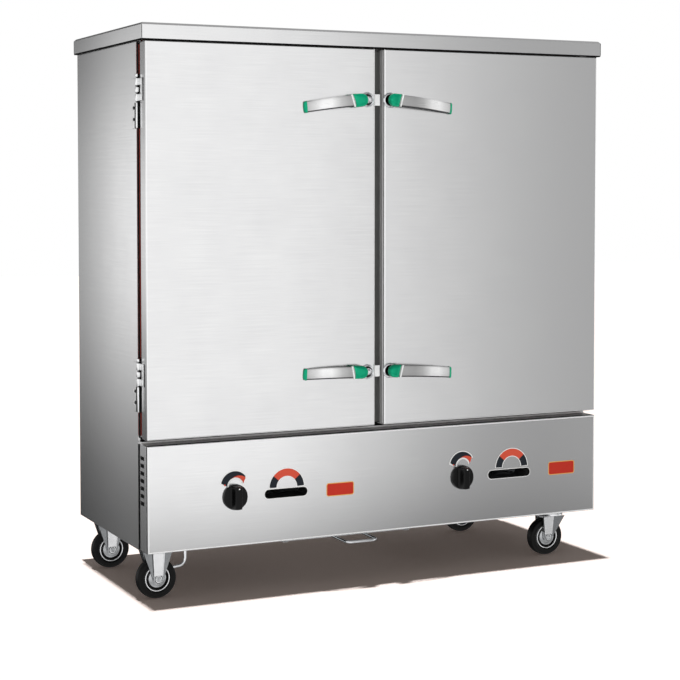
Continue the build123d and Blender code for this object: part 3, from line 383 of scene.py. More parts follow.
class Skin:
    """Gathers grids of points and makes one closed mesh of them."""

    def __init__(self) -> None:
        """Starts with no grid."""
        self.points: list[Array] = []
        self.faces: list[Array] = []
        self.tints: list[Array] = []
        self.count = 0

    def add(self, grid: Array, rows: bool = False, columns: bool = True, tint: int | Array = 0) -> "Skin":
        """Adds a grid of points with a face between each four neighbours.

        Args:
            grid: Points in millimetres, rows by columns.
            rows: Whether the last row meets the first.
            columns: Whether the last column meets the first.
            tint: Which of the piece's materials the faces wear, one for all or row by column.

        Returns:
            The skin itself.
        """
        down, across = grid.shape[:2]
        index = np.arange(down * across).reshape(down, across) + self.count
        index = np.concatenate((index, index[:1])) if rows else index
        index = np.concatenate((index, index[:, :1]), 1) if columns else index
        quads = np.stack((index[:-1, :-1], index[1:, :-1], index[1:, 1:], index[:-1, 1:]), -1)
        self.points.append(grid.reshape(-1, 3))
        self.faces.append(quads.reshape(-1, 4))
        self.tints.append(np.broadcast_to(tint, quads.shape[:2]).reshape(-1))
        self.count += down * across
        return self

    def add_strip(self, grids: list[Array]) -> "Skin":
        """Adds the wrap and the ends of a flat band.

        Args:
            grids: The wrap, and then its ends.

        Returns:
            The skin itself.
        """
        self.add(grids[0])
        for end in grids[1:]:
            self.add(end, columns=False)
        return self

    def mesh(self, name: str) -> bpy.types.Mesh:
        """Puts the grids into one mesh, merges what meets and turns its faces outwards.

        Args:
            name: Name of the mesh.

        Returns:
            The mesh, in metres.
        """
        mesh = bpy.data.meshes.new(name)
        mesh.from_pydata(np.concatenate(self.points) * MM, [], np.concatenate(self.faces))
        mesh.polygons.foreach_set("material_index", np.concatenate(self.tints).astype(np.int32))
        shell = bmesh.new()
        shell.from_mesh(mesh)
        bmesh.ops.remove_doubles(shell, verts=shell.verts, dist=MERGE)
        bmesh.ops.dissolve_degenerate(shell, edges=shell.edges, dist=MERGE)
        bmesh.ops.recalc_face_normals(shell, faces=shell.faces)
        shell.to_mesh(mesh)
        shell.free()
        mesh.shade_smooth()
        mesh.set_sharp_from_angle(angle=SHARP_TURN)
        return mesh


# Finishes: each is named for the real material and how its surface was made


def linear(code: str) -> tuple[float, float, float, float]:
    """Turns an sRGB hex colour to linear: (c + 0.055) / 1.055 to the power 2.4, or c / 12.92.

    Args:
        code: The colour, as a hash mark and six digits.

    Returns:
        Red, green, blue and a full alpha.
    """
    shares = np.array([int(code[at:at + 2], 16) for at in (1, 3, 5)]) / 255
    low = shares / 12.92
    high = ((shares + 0.055) / 1.055) ** 2.4
    return (*np.where(shares <= 0.04045, low, high), 1.0)


def add_node(
    tree: bpy.types.NodeTree,
    kind: str,
    values: dict | None = None,
    links: dict | None = None,
    **settings,
) -> bpy.types.Node:
    """Adds one shader node.

    Args:
        tree: Node tree that it joins.
        kind: Blender's name of the node type.
        values: Input values by socket name or number.
        links: Outputs that feed its inputs, by socket name or number.
        **settings: Attributes of the node itself.

    Returns:
        The node.
    """
    node = tree.nodes.new(kind)
    for key, value in settings.items():
        setattr(node, key, value)
    for key, value in (values or {}).items():
        node.inputs[key].default_value = value
    for key, source in (links or {}).items():
        tree.links.new(source, node.inputs[key])
    return node


def ramp(
    tree: bpy.types.NodeTree, value: bpy.types.NodeSocket, span: tuple[float, float], stops: tuple
) -> bpy.types.NodeSocket:
    """A brightness that follows a value through stops of value and strength, with straight runs between.

    Args:
        tree: Node tree that it joins.
        value: The value to follow.
        span: Its lowest and highest.
        stops: The stops, in rising order.

    Returns:
        The brightness.
    """
    low, high = span
    share = add_node(tree, "ShaderNodeMapRange", {1: low, 2: high, 3: 0.0, 4: 1.0}, {0: value}).outputs[0]
    node = add_node(tree, "ShaderNodeValToRGB", links={0: share})
    points = node.color_ramp.elements
    for point, (at, strength) in zip(points, (stops[0], stops[-1])):
        point.position, point.color = (at - low) / (high - low), (strength,) * 3 + (1.0,)
    for at, strength in stops[1:-1]:
        points.new((at - low) / (high - low)).color = (strength,) * 3 + (1.0,)
    return node.outputs[0]


@dataclass(frozen=True)
class Finish:
    """A surface: its two tones, gloss and the grain that mixes them.

    The grain is a noise stretched to the given size in millimetres along X, Y and Z. It mixes
    the tones, moves the roughness between its two values and raises the surface by the relief.
    The blotch is the size of broad handling marks, and the soil is their share in the mix.
    """

    name: str
    slot: str
    tone: str
    deep: str
    roughness: tuple[float, float]
    grain: tuple[float, float, float]
    relief: float = 0.0
    metallic: float = 0.0
    ior: float = 1.5
    specular: float = 0.5
    anisotropy: float = 0.0
    blotch: float = 120.0
    soil: float = 0.15
    bulges: tuple[tuple[int, float, float, float], ...] = ()

    def shade(self, tree: bpy.types.NodeTree) -> bpy.types.NodeSocket | None:
        """Painted light and shade that multiply the colour along the piece, if the finish has any."""
        return None

    def bulged(self, tree: bpy.types.NodeTree) -> bpy.types.NodeSocket:
        """Normal of a sheet that bulges: its height falls with the square of the way from its middle.

        Each bulge gives its axis, middle, half length and rise, in millimetres.

        Args:
            tree: Node tree that it joins.

        Returns:
            The normal.
        """
        where = add_node(tree, "ShaderNodeTexCoord").outputs["Object"]
        parts = add_node(tree, "ShaderNodeSeparateXYZ", links={0: where}).outputs
        height = None
        for axis, middle, half, rise in self.bulges:
            span = {1: middle * MM, 2: (middle + half) * MM, 3: 0.0, 4: 1.0}
            share = add_node(tree, "ShaderNodeMapRange", span, {0: parts[axis]}, clamp=False).outputs[0]
            square = add_node(tree, "ShaderNodeMath", links={0: share, 1: share}, operation="MULTIPLY").outputs[0]
            sources = {0: square, 2: height} if height else {0: square}
            height = add_node(tree, "ShaderNodeMath", {1: -rise}, sources, operation="MULTIPLY_ADD").outputs[0]
        return add_node(tree, "ShaderNodeBump", {"Strength": 1.0, "Distance": MM}, {"Height": height}).outputs[0]

    def noise(
        self, tree: bpy.types.NodeTree, size: tuple[float, float, float], detail: float, roughness: float
    ) -> bpy.types.NodeSocket:
        """A noise on object coordinates, stretched so that one cell of it has the size.

        Args:
            tree: Node tree that it joins.
            size: Size of a cell along X, Y and Z in millimetres.
            detail: How many finer layers it has.
            roughness: How strong the finer layers are.

        Returns:
            The noise, from 0 to 1.
        """
        where = add_node(tree, "ShaderNodeTexCoord").outputs["Object"]
        scale = {"Scale": tuple(1 / (length * MM) for length in size)}
        spread = add_node(tree, "ShaderNodeMapping", scale, {"Vector": where}).outputs[0]
        values = {"Scale": 1.0, "Detail": detail, "Roughness": roughness}
        return add_node(tree, "ShaderNodeTexNoise", values, {"Vector": spread}).outputs[0]

    def pattern(self, tree: bpy.types.NodeTree) -> bpy.types.NodeSocket:
        """The grain, from 0 to 1."""
        return self.noise(tree, self.grain, 4.0, 0.6)

    def make(self) -> bpy.types.Material:
        """Builds the material once, and hands the same one out again later.

        Returns:
            The material.
        """
        known = bpy.data.materials.get(self.name)
        if known:
            return known
        made = bpy.data.materials.new(self.name)
        made.use_nodes = True
        tree = made.node_tree
        tree.nodes.clear()
        grain, marks = self.pattern(tree), self.noise(tree, (self.blotch,) * 3, 3.0, 0.55)
        both = add_node(tree, "ShaderNodeMix", {0: self.soil}, {2: grain, 3: marks}, data_type="FLOAT").outputs[0]
        # A noise keeps to the middle of its range, so that part of it is spread over the whole
        low, high = self.roughness
        spread, gloss = (
            add_node(tree, "ShaderNodeMapRange", {1: 0.3, 2: 0.7, 3: start, 4: end}, {0: both}).outputs[0]
            for start, end in ((0.0, 1.0), (high, low))
        )
        tones = {6: linear(self.deep), 7: linear(self.tone)}
        colour = add_node(tree, "ShaderNodeMix", tones, {0: spread}, data_type="RGBA").outputs[2]
        # Painted light and shade along the piece, where the finish has any
        shade = self.shade(tree)
        if shade:
            colour = add_node(
                tree, "ShaderNodeMix", {0: 1.0}, {6: colour, 7: shade}, data_type="RGBA", blend_type="MULTIPLY"
            ).outputs[2]
        values = {
            "Metallic": self.metallic,
            "IOR": self.ior,
            "Specular IOR Level": self.specular,
            "Anisotropic": self.anisotropy,
        }
        links = {"Base Color": colour, "Roughness": gloss}
        if self.anisotropy:
            # The grain runs level, so highlights stretch across it, up and down
            values["Anisotropic Rotation"] = 0.25
            round_z = add_node(tree, "ShaderNodeTangent", direction_type="RADIAL", axis="Z")
            links["Tangent"] = round_z.outputs[0]
        if self.bulges:
            links["Normal"] = self.bulged(tree)
        if self.relief:
            raised = {"Strength": 1.0, "Distance": self.relief * MM}
            under = {"Normal": links["Normal"]} if self.bulges else {}
            links["Normal"] = add_node(tree, "ShaderNodeBump", raised, {"Height": grain, **under}).outputs[0]
        shader = add_node(tree, "ShaderNodeBsdfPrincipled", values, links)
        add_node(tree, "ShaderNodeOutputMaterial", links={"Surface": shader.outputs[0]})
        return made


@dataclass(frozen=True)
class BrushedSheet(Finish):
    """Sheet steel brushed level: fine streaks along the sheet on upright and flat faces alike.

    Real brush lines are about a tenth of a millimetre wide. They are drawn several times as
    coarse, so that a few show in the picture.
    """

    def pattern(self, tree: bpy.types.NodeTree) -> bpy.types.NodeSocket:
        """Streaks thin in Z on upright faces and thin in Y on flat ones, chosen by the normal.

        Args:
            tree: Node tree that it joins.

        Returns:
            The streaks, from 0 to 1.
        """
        long, _, fine = self.grain
        normal = add_node(tree, "ShaderNodeNewGeometry").outputs["Normal"]
        facing = add_node(tree, "ShaderNodeSeparateXYZ", links={0: normal}).outputs[2]
        level = add_node(tree, "ShaderNodeMath", links={0: facing}, operation="ABSOLUTE").outputs[0]
        flat = add_node(tree, "ShaderNodeMath", {1: 0.7}, {0: level}, operation="GREATER_THAN").outputs[0]
        upright, lying = (self.noise(tree, size, 5.0, 0.65) for size in ((long, long, fine), (long, fine, fine)))
        mixed = add_node(tree, "ShaderNodeMix", links={0: flat, 2: upright, 3: lying}, data_type="FLOAT")
        return mixed.outputs[0]


@dataclass(frozen=True)
class PaintedHighlightBand(Finish):
    """A band with a painted highlight: its colour is bright in the middle of its length and greyer at both ends."""

    centre: float = -19.6
    reach: float = 300.0
    # Painted highlight: distance from the doors' meeting line in millimetres, and tone
    stops: tuple = ((55, 0.44), (104, 0.46), (128, 0.6), (158, 1.0), (184, 1.0), (206, 0.72), (230, 0.5))

    def shade(self, tree: bpy.types.NodeTree) -> bpy.types.NodeSocket:
        """Painted highlight and shade by the distance from the doors' meeting line, the same to the left and the right.

        Args:
            tree: Node tree that it joins.

        Returns:
            The tone.
        """
        where = add_node(tree, "ShaderNodeTexCoord").outputs["Object"]
        along = add_node(tree, "ShaderNodeSeparateXYZ", links={0: where}).outputs[0]
        past = add_node(tree, "ShaderNodeMath", {1: self.centre * MM}, {0: along}, operation="SUBTRACT").outputs[0]
        away = add_node(tree, "ShaderNodeMath", links={0: past}, operation="ABSOLUTE").outputs[0]
        return ramp(tree, away, (0.0, self.reach * MM), tuple((d * MM, tone) for d, tone in self.stops))


# Stainless sheet, brushed on a belt: soft level streaks that smear reflections up and down
DOOR_STEEL = BrushedSheet(
    "brushed_stainless_door_sheet", "door_stainless", "#EEEEEE", "#E4E4E5",
    (0.2, 0.24), (160.0, 160.0, 1.2), relief=0.0012, metallic=1.0, anisotropy=0.4, soil=0.3,
)
SHELL_STEEL = replace(DOOR_STEEL, name="brushed_stainless_shell_sheet", slot="brushed_stainless")
# Bulges of a sheet: axis, middle, half length and rise, in millimetres
FRONT_TO_BACK = (1, 24.0, 270.0, 5.9)
ALONG_THE_FRONT = (0, -2136.0, 712.0, 2.4)
# The same sheet on the sides, where the long panel bulges a few millimetres
SIDE_STEEL = replace(SHELL_STEEL, name="brushed_stainless_side_sheet", bulges=(FRONT_TO_BACK,))
# The lid, sprung along its front as well
LID_STEEL = replace(
    SHELL_STEEL, name="brushed_stainless_lid_sheet",
    bulges=(FRONT_TO_BACK, ALONG_THE_FRONT, (2, 1930.0, 400.0, 5.2)),
)
# The same sheet on the control panel, sprung a little inwards to its lower edge
PANEL_STEEL = replace(
    SHELL_STEEL, name="brushed_stainless_panel_sheet", roughness=(0.15, 0.18),
    bulges=((2, 400.0, 265.0, 9.0), ALONG_THE_FRONT),
)
# Matt black strips painted as shade in the joints, gaps and vent mouths, and the ports' black flanges
SHADE_AND_JOINT_BLACK = Finish(
    "black_joint_strip_and_painted_shade", "black_steel", "#121212", "#0B0B0B",
    (0.6, 0.75), (2.0, 2.0, 2.0), relief=0.01, specular=0.06, soil=0.5,
)
# The mullion's cover, painted dark grey as the shade between the doors
SHADED_MULLION_GREY = Finish(
    "mullion_cover_painted_shade", "frame_steel", "#6A6B69", "#5D5E5C",
    (0.5, 0.65), (40.0, 3.0, 40.0), relief=0.01, soil=0.4,
)
# Rolled stainless as it leaves the mill: greyer and softer, with faint roll lines
LINER_STEEL = BrushedSheet(
    "rolled_stainless_liner", "inner_stainless", "#C9CBCC", "#B5B7B9",
    (0.3, 0.42), (60.0, 60.0, 2.5), relief=0.01, metallic=1.0, soil=0.45,
)
# Stainless face of the foamed door panel
PANEL_FACE = replace(LINER_STEEL, name="stainless_inner_door_face", slot="door_foam")
# Pressed stainless of the hinges, tumbled smooth after pressing
HINGE_STEEL = Finish(
    "tumbled_stainless_pressing", "hinge_steel", "#F0F0F0", "#DFE0E1",
    (0.18, 0.28), (3.0, 3.0, 3.0), relief=0.006, metallic=1.0,
)
# Countersunk screws, black oxide
SCREW_STEEL = Finish(
    "black_oxide_screw", "hinge_steel", "#4A4B4C", "#38393A",
    (0.3, 0.4), (2.0, 2.0, 2.0), relief=0.005, metallic=0.9,
)
# Keepers and collars: thin steel, tumbled bright
KEEPER_STEEL = Finish(
    "tumbled_keeper_plate", "latch_chrome", "#FFFFFF", "#F6F6F6",
    (0.35, 0.45), (3.0, 3.0, 3.0), relief=0.002, metallic=0.2,
)
# White strips on the sheet's edges and on the panel's ledge: painted highlight and painted light
EDGE_HIGHLIGHT = replace(KEEPER_STEEL, name="sheet_edge_painted_highlight", slot="brushed_stainless")
# A matt light grey strip on the doors' meeting edges: painted light standing for the light the steel sides catch in the
# gap
EDGE_STRIP_LIGHT = Finish(
    "door_edge_strip_painted_light", "door_stainless", "#D4D4D3", "#C6C6C5",
    (0.4, 0.5), (3.0, 3.0, 60.0), relief=0.003, metallic=0.3,
)
# Chromium plate on brass: a nearly clear mirror
CHROME = Finish(
    "polished_chrome_plate", "latch_chrome", "#E2E3E5", "#D5D6D9",
    (0.06, 0.12), (9.0, 9.0, 9.0), metallic=1.0,
)
CHROME_WIRE = replace(CHROME, name="chromed_steel_wire", slot="inner_stainless")
# Steel band brushed along its length, with a highlight painted along it
BAND_STEEL = PaintedHighlightBand(
    "stainless_band_painted_highlight", "latch_band", "#FFFFFF", "#EFEFEF",
    (0.26, 0.34), (70.0, 4.0, 0.9), relief=0.002, metallic=0.5, soil=0.2,
)
# The band's lower lip, painted dark as the shade under the band
BAND_SHADED_LIP = Finish(
    "band_lip_painted_shade", "latch_band", "#5A5A5B", "#454546",
    (0.35, 0.5), (30.0, 3.0, 1.0), relief=0.003, metallic=0.9, soil=0.3,
)
# Bright zinc plate: bluish white metal with faint darker clouds
ZINC = Finish(
    "bright_zinc_plate", "zinc_steel", "#F4F4F5", "#E6E7E9",
    (0.22, 0.28), (25.0, 25.0, 25.0), relief=0.003, metallic=0.8, soil=0.4,
)
# The forks' side webs: the same zinc, painted darker as shade
SHADED_WEB_ZINC = replace(ZINC, name="zinc_web_painted_shade", tone="#97999B", deep="#87898B")
# The pressed hub of a wheel, dulled by road dust, and dark zinc painted as shade in the washer's ring and round the
# ribs
HUB_ZINC = replace(ZINC, name="dusty_zinc_hub", tone="#C4C6C8", deep="#B2B4B6")
SHADED_SEAT_ZINC = replace(ZINC, name="zinc_seat_painted_shade", tone="#505254", deep="#434546", metallic=0.5)
# Glossy injection-moulded ABS, coloured through
GREEN_ABS = Finish(
    "moulded_green_abs", "green_plastic", "#00A87C", "#009A70",
    (0.2, 0.28), (2.0, 2.0, 2.0), relief=0.004, metallic=0.35, ior=1.53, specular=0.22, soil=0.4,
)
# Pressed phenolic: black, hard and a little oily
PHENOLIC = Finish(
    "pressed_black_phenolic", "black_plastic", "#080808", "#040404",
    (0.2, 0.3), (1.6, 1.6, 1.6), relief=0.008, ior=1.55, specular=0.16, soil=0.4,
)
# Heat-proof paint on thin sheet: a dead black
BLACK_PAINT = Finish(
    "heatproof_black_paint", "black_steel", "#0B0B0C", "#050506",
    (0.6, 0.75), (1.2, 1.2, 1.2), relief=0.02, soil=0.5,
)
# Extruded silicone: matt, soft, with dust on it
SILICONE = Finish(
    "extruded_red_silicone", "gasket_rubber", "#B8493B", "#A23D31",
    (0.5, 0.65), (3.0, 3.0, 3.0), relief=0.02, metallic=0.55, ior=1.41, soil=0.5,
)
# Vulcanised tyre rubber
RUBBER = Finish(
    "vulcanised_tyre_rubber", "wheel_rubber", "#0B0B0B", "#050505",
    (0.4, 0.55), (1.8, 1.8, 1.8), relief=0.02, ior=1.52, specular=0.16, soil=0.5,
)
# Grey primer and paint on rolled angle steel
FRAME_PAINT = Finish(
    "sprayed_grey_frame_paint", "frame_steel", "#74777A", "#5F6265",
    (0.45, 0.6), (1.5, 1.5, 1.5), relief=0.03, soil=0.6,
)
# Grey cast iron, sand cast: rough and nearly black
IRON = Finish(
    "sand_cast_iron", "cast_iron", "#3B3A3A", "#242323",
    (0.6, 0.8), (1.4, 1.4, 1.4), relief=0.25, metallic=0.6, soil=0.3,
)
# Turned and lightly tarnished brass
BRASS = Finish(
    "turned_brass", "brass", "#CBA667", "#9C7A42",
    (0.22, 0.4), (4.0, 4.0, 4.0), relief=0.02, metallic=1.0, soil=0.5,
)
# Hot-dip galvanised pipe: dull, with grey spangle
GALVANISED = Finish(
    "galvanised_steel_pipe", "pipe_steel", "#A4A8AB", "#83878B",
    (0.35, 0.55), (7.0, 7.0, 7.0), relief=0.02, metallic=0.9, soil=0.3,
)
# Vinyl dip on the drain lever
VINYL = Finish(
    "dipped_red_vinyl", "yellow_plastic", "#B8281F", "#9C1F18",
    (0.3, 0.4), (2.0, 2.0, 2.0), relief=0.01, soil=0.4,
)
# Yellowed rigid polyurethane foam between the sheets
FOAM = Finish(
    "rigid_polyurethane_foam", "foam", "#DCCF9F", "#C6B67F",
    (0.8, 0.95), (2.5, 2.5, 2.5), relief=0.4, soil=0.3,
)
# Screen print on vinyl film
FILM_WHITE = Finish(
    "printed_white_film", "brushed_stainless", "#F6F6F4", "#ECECEA",
    (0.35, 0.45), (4.0, 4.0, 4.0), soil=0.5,
)
FILM_NAVY = replace(FILM_WHITE, name="printed_navy_film", tone="#20252C", deep="#191E25", specular=0.2)
FILM_RED = replace(FILM_WHITE, name="printed_red_film", tone="#DD553C", deep="#D04A34", specular=0.3)
LABEL_RED = replace(FILM_WHITE, name="printed_deep_red_film", tone="#CC3524", deep="#BE2E1E", specular=0.2)
FILM_AMBER = replace(FILM_WHITE, name="printed_amber_film", tone="#EDB568", deep="#E3A658", specular=0.3)
DOT_WHITE = replace(FILM_WHITE, name="white_pointer_paint", slot="black_plastic")

LATCHES = tuple(f"{level}_{side}" for level in ("upper", "lower") for side in ("left", "right"))
WHEELS = tuple(f"{row}_{side}" for row in ("front", "rear") for side in ("left", "right"))

NODE_FINISHES = {
    DOOR_STEEL: ("door_skin_left", "door_skin_right"),
    SHELL_STEEL: ("back_panel", "front_frame"),
    LID_STEEL: ("top_cover",),
    SIDE_STEEL: ("side_panel_left", "side_panel_right"),
    PANEL_STEEL: ("control_panel",),
    LINER_STEEL: (
        "chamber_left", "chamber_right", "tray_rack_left", "tray_rack_right", "water_tanks",
        "steam_grids", "steam_vents", "water_feed_box", "tray_runners", "drip_tray",
    ),
    PANEL_FACE: ("door_inner_left", "door_inner_right"),
    HINGE_STEEL: ("door_hinge_leaves_left", "door_hinge_leaves_right", "hinge_plates", "hinge_pins"),
    CHROME: ("latch_bases_left", "latch_bases_right", "keepers"),
    BAND_STEEL: tuple(f"latch_lever_{corner}" for corner in LATCHES),
    GREEN_ABS: tuple(f"latch_grip_{corner}" for corner in LATCHES),
    PHENOLIC: ("knob_left", "knob_right"),
    BLACK_PAINT: ("lighting_ports",),
    SILICONE: ("door_gasket_left", "door_gasket_right"),
    ZINC: (
        "rigid_forks", "swivel_plates", "swivel_fork_front", "swivel_fork_rear",
        *(f"wheel_rim_{corner}" for corner in WHEELS),
    ),
    CHROME_WIRE: ("bent_rod",),
    RUBBER: tuple(f"tyre_{corner}" for corner in WHEELS),
    FRAME_PAINT: ("base_frame",),
    IRON: ("burners",),
    BRASS: ("gas_valves", "water_pipe"),
    GALVANISED: ("gas_manifold",),
    VINYL: ("drain_lever",),
    FOAM: ("insulation",),
}


def dress_nodes() -> None:
    """Gives every CAD node the finish of its real material, in all its material slots."""
    for finish, names in NODE_FINISHES.items():
        material = finish.make()
        for name in names:
            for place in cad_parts[name].material_slots:
                place.material = material
            log.info("dressed %s in %s", name, finish.name)


def fit(
    shape: Skin | Array, name: str, body: str, finish: Finish,
    stands_for: tuple[str, ...] = (), others: tuple[Finish, ...] = (),
) -> bpy.types.Object:
    """Makes a piece of a shape and lets it ride on its CAD body.

    Args:
        shape: The gathered grids, or one grid whose last column meets its first.
        name: Name of the piece.
        body: CAD body that it moves with.
        finish: Finish of its faces.
        stands_for: CAD nodes that it replaces.
        others: Finishes of its further tints.

    Returns:
        The piece.
    """
    skin = shape if isinstance(shape, Skin) else Skin().add(shape)
    piece = bpy.data.objects.new(name, skin.mesh(name))
    bpy.context.scene.collection.objects.link(piece)
    for coat in (finish, *others):
        piece.data.materials.append(coat.make())
    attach(piece, body)
    if stands_for:
        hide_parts(*stands_for)
    log.info("made %s on %s with %d faces", name, body, len(piece.data.polygons))
    return piece


def corners(node: str) -> tuple[Array, Array]:
    """Lowest and highest corner of a CAD node in millimetres."""
    return tuple(np.array(corner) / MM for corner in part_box(node))


FACE_Y = float(corners("control_panel")[0][1])
FRAME_Y = float(corners("front_frame")[0][1])
SIDES = (("left", -1.0), ("right", 1.0))
# Heights of the latches' pivots and of the hinges' feet over the floor
LATCH_LEVELS = {"lower": 594.0, "upper": 1360.0}
HINGE_LEVELS = {"lower": 510.0, "upper": 1272.0}
# How far a latch's pivot lies from the edge where its door meets the other one
PIVOT_INSET = 21.5
# The right dial is printed a little further right and higher over its knob than the left one
DIAL_SHIFTS = {"left": (0.0, 0.0), "right": (1.4, 3.5)}
# The four levers don't hang alike, in degrees
LATCH_DROOPS = {("lower", "left"): -2.7, ("lower", "right"): 2.0, ("upper", "left"): 5.0, ("upper", "right"): 3.8}


@dataclass
class Latch:
    """One lever latch: its ringed disc, bush and hub, bowed band, moulded grip and end cap.

    The arm is a middle, a length, a width and a corner radius. The bow is the band's reach at
    its root and how much of it goes with the share of the way and with the square of the share.
    """

    level: str
    side: str
    x: float
    z: float
    droop: float
    disc_radius: float = 21.3
    disc_shift: float = -3.0
    bush: tuple[float, float] = (11.0, 15.6)
    hub_radius: float = 5.0
    arm: tuple[float, float, float, float] = (21.0, 38.0, 13.0, 5.0)
    arm_rise: tuple[float, float] = (9.0, 14.6)
    half_start: float = 16.6
    half_end: float = 15.4
    sag: float = 8.0
    bow: tuple[float, float, float] = (22.5, 14.0, -31.0)
    thickness: float = 3.0
    crown: float = 1.2
    root_depth: float = 12.0
    grip_reach: float = 30.0
    grip_back: float = 14.5
    grip_height: float = 37.5
    grip_nose: float = 20.0
    slant: float = 7.5
    collar_rise: tuple[float, float] = (22.0, 27.6)
    cap_length: float = 7.5
    cap_wall: float = 0.9
    cap_drop: float = 2.0

    @property
    def ends(self) -> tuple[float, float, float]:
        """Where the grip begins and ends and the band ends: the two hands differ a little."""
        return (10.3, 60.8, 200.5) if self.side == "left" else (-15.2, 24.8, 196.5)

    @property
    def band_root(self) -> float:
        """Where the band begins, inside the grip."""
        return self.ends[0] + self.root_depth

    def place(self) -> Place:
        """The pivot on the door's face, turned by the lever's droop."""
        return Place(self.x, FACE_Y, self.z, turn=-self.droop, flip=-1.0 if self.side == "left" else 1.0)

    def line(self, share: Array) -> tuple[Array, Array, Array, Array]:
        """The band's run: its height falls with the square of the share, and it bows by a parabola.

        Args:
            share: Shares of the way from the root to the end.

        Returns:
            Distance out from the pivot, height of the middle, half height and reach.
        """
        a = self.band_root + (self.ends[2] - self.band_root) * share
        b = -self.sag * share * np.abs(share)
        half = self.half_start + (self.half_end - self.half_start) * share
        start, rise, fall = self.bow
        return a, b, half, start + rise * share + fall * share * np.abs(share)

    def wrap(self, first: float, last: float, grow: float, rows: int, nose: float = 0.0) -> tuple[Array, Array]:
        """A length of the band's section, grown all round: a rounded oblong with a crowned front.

        Over the nose the section narrows and thins by quarter ellipses and drops to the door.

        Args:
            first: Share where the length begins.
            last: Share where it ends.
            grow: How much larger than the band it is on every side.
            rows: Divisions along it.
            nose: Share of the length over which its end rounds off.

        Returns:
            The closed grid, and which of its columns belong to the lower lip, which wears painted shade.
        """
        share = first + (last - first) * np.sin(np.linspace(0, np.pi / 2, rows + 1))
        a, b, half, reach = (v[:, None] for v in self.line(share))
        # The section in shares of its half height: flat to 0.94, its corners at 0.45 of the half thickness
        levels = np.linspace(-0.94, 0.94, 13)
        thick = self.thickness / 2 + grow
        back = np.stack((levels, np.full_like(levels, -thick)), -1)
        low = np.array([[-1.0, thick * 0.45], [-1.0, -thick * 0.45]])
        unit = np.vstack((back, -low, -back, low))
        height = unit[:, 0]
        beyond = np.clip(1 - (last - share) / nose, 0, 1)[:, None] if nose else 0.0
        narrow, thin = (np.sqrt(np.clip(1 - np.square(beyond) * loss, 0, 1)) for loss in (0.75, 0.9))
        across = height * (half + grow) * narrow
        middle = reach - self.cap_drop * np.square(beyond) - self.thickness / 2
        depth = middle + unit[:, 1] * thin + (1 - height**2) * self.crown * thin
        grid = self.place().put(a, b + across, depth)
        return with_middles(grid), (height < -0.76).astype(int)

    def make(self) -> None:
        """Builds the disc and bush that stay on the door, and what turns on them."""
        tail = f"{self.level}_{self.side}"
        latch, door = f"latch_{tail}", f"door_{self.side}"
        bases, lever, grip = f"latch_bases_{self.side}", f"latch_lever_{tail}", f"latch_grip_{tail}"
        r, h, (low, high) = self.disc_radius, self.hub_radius, self.bush
        # Turned profiles: rows of radius and height over the door
        washer = [
            [0, 0], [r - 0.3, 0], [r, 0.3], [r, 1.2], [r - 0.4, 1.6], [r - 1.0, 1.2], [r - 1.4, 1.2], [r - 1.8, 1.8],
            [r - 2.4, 2.4], [high + 1.2, 2.8], [high + 0.4, 3.0], [high - 0.4, 2.6], [0, 2.6],
        ]
        bush = [[0, 2.5], [high - 0.6, 2.5], [high - 0.3, 2.8], [high - 0.5, 3.4], [low + 1, 3.6], [0, 3.6]]
        post = [
            [0, 3.7], [low - 1.5, 3.7], [low - 1.2, 4.4], [h + 1.0, 5.0], [h, 5.8], [h, 13.0], [h - 0.8, 14.2],
            [0, 15.0],
        ]
        spot = self.place()
        disc = replace(spot, x=self.x + self.disc_shift)
        fit(lathe(washer, disc, 72), f"latch_disc_{tail}", door, CHROME, (bases,))
        fit(lathe(bush, disc, 56), f"latch_bush_{tail}", door, PHENOLIC, (bases,))
        out, length, width, radius = self.arm
        arm = replace(spot, x=self.x + spot.flip * out)
        hub = Skin().add(lathe(post, spot, 48))
        hub.add(slab(rounded_loop(length, width, radius), arm, rim(*self.arm_rise, 1.2, under=0.4)))
        fit(hub, f"latch_hub_{tail}", latch, CHROME, (lever,))
        # The band ends inside the cap, and the cap reaches a little past the band's line
        share = self.cap_length / (self.ends[2] - self.band_root)
        # The band's lower lip wears painted shade
        band, lip = self.wrap(0.0, 1.0 - share * 0.8, 0.0, 44)
        fit(Skin().add(band, tint=lip), f"latch_band_{tail}", latch, BAND_STEEL, (lever,), (BAND_SHADED_LIP,))
        cap = self.wrap(1.0 - share, 1.006, self.cap_wall, 10, share * 0.7)[0]
        fit(cap, f"latch_cap_{tail}", latch, GREEN_ABS, (grip,))
        block = pillow(self.grip_loop(), spot, self.grip_back, self.grip_reach, 3.0, 16)
        fit(block, f"latch_grip_moulding_{tail}", latch, GREEN_ABS, (grip,))
        fit(self.grip_edge(), f"latch_grip_collar_{tail}", latch, KEEPER_STEEL, (lever,))

    def grip_loop(self) -> Array:
        """Outline of the grip: half an ellipse at the pivot, a level top and bottom, and a slanted end.

        Returns:
            Points of the outline, counter-clockwise.
        """
        turn = np.linspace(np.pi / 2, 3 * np.pi / 2, 29)
        half, nose = self.grip_height / 2, self.grip_nose
        begin, top, _ = self.ends
        low = top - self.slant
        left = np.stack((begin + nose + nose * np.cos(turn), half * np.sin(turn)), -1)
        right = [[low - 2.2, -half], [low, -half + 1.4], [top, half - 1.4], [top - 1.6, half]]
        return np.vstack((left, right))

    def grip_edge(self) -> Array:
        """The collar at the grip's slanted end: a thin rounded bar along the slant, over the band.

        Returns:
            The grid of points.
        """
        half = self.grip_height / 2 - 1.2
        top, low = self.ends[1] + 0.7, self.ends[1] - self.slant + 0.7
        loop = np.array([[low - 1.0, -half], [low + 3.4, -half + 0.4], [top + 3.4, half - 0.4], [top - 1.0, half]])
        return slab(loop, self.place(), rim(*self.collar_rise, 0.6, 3))


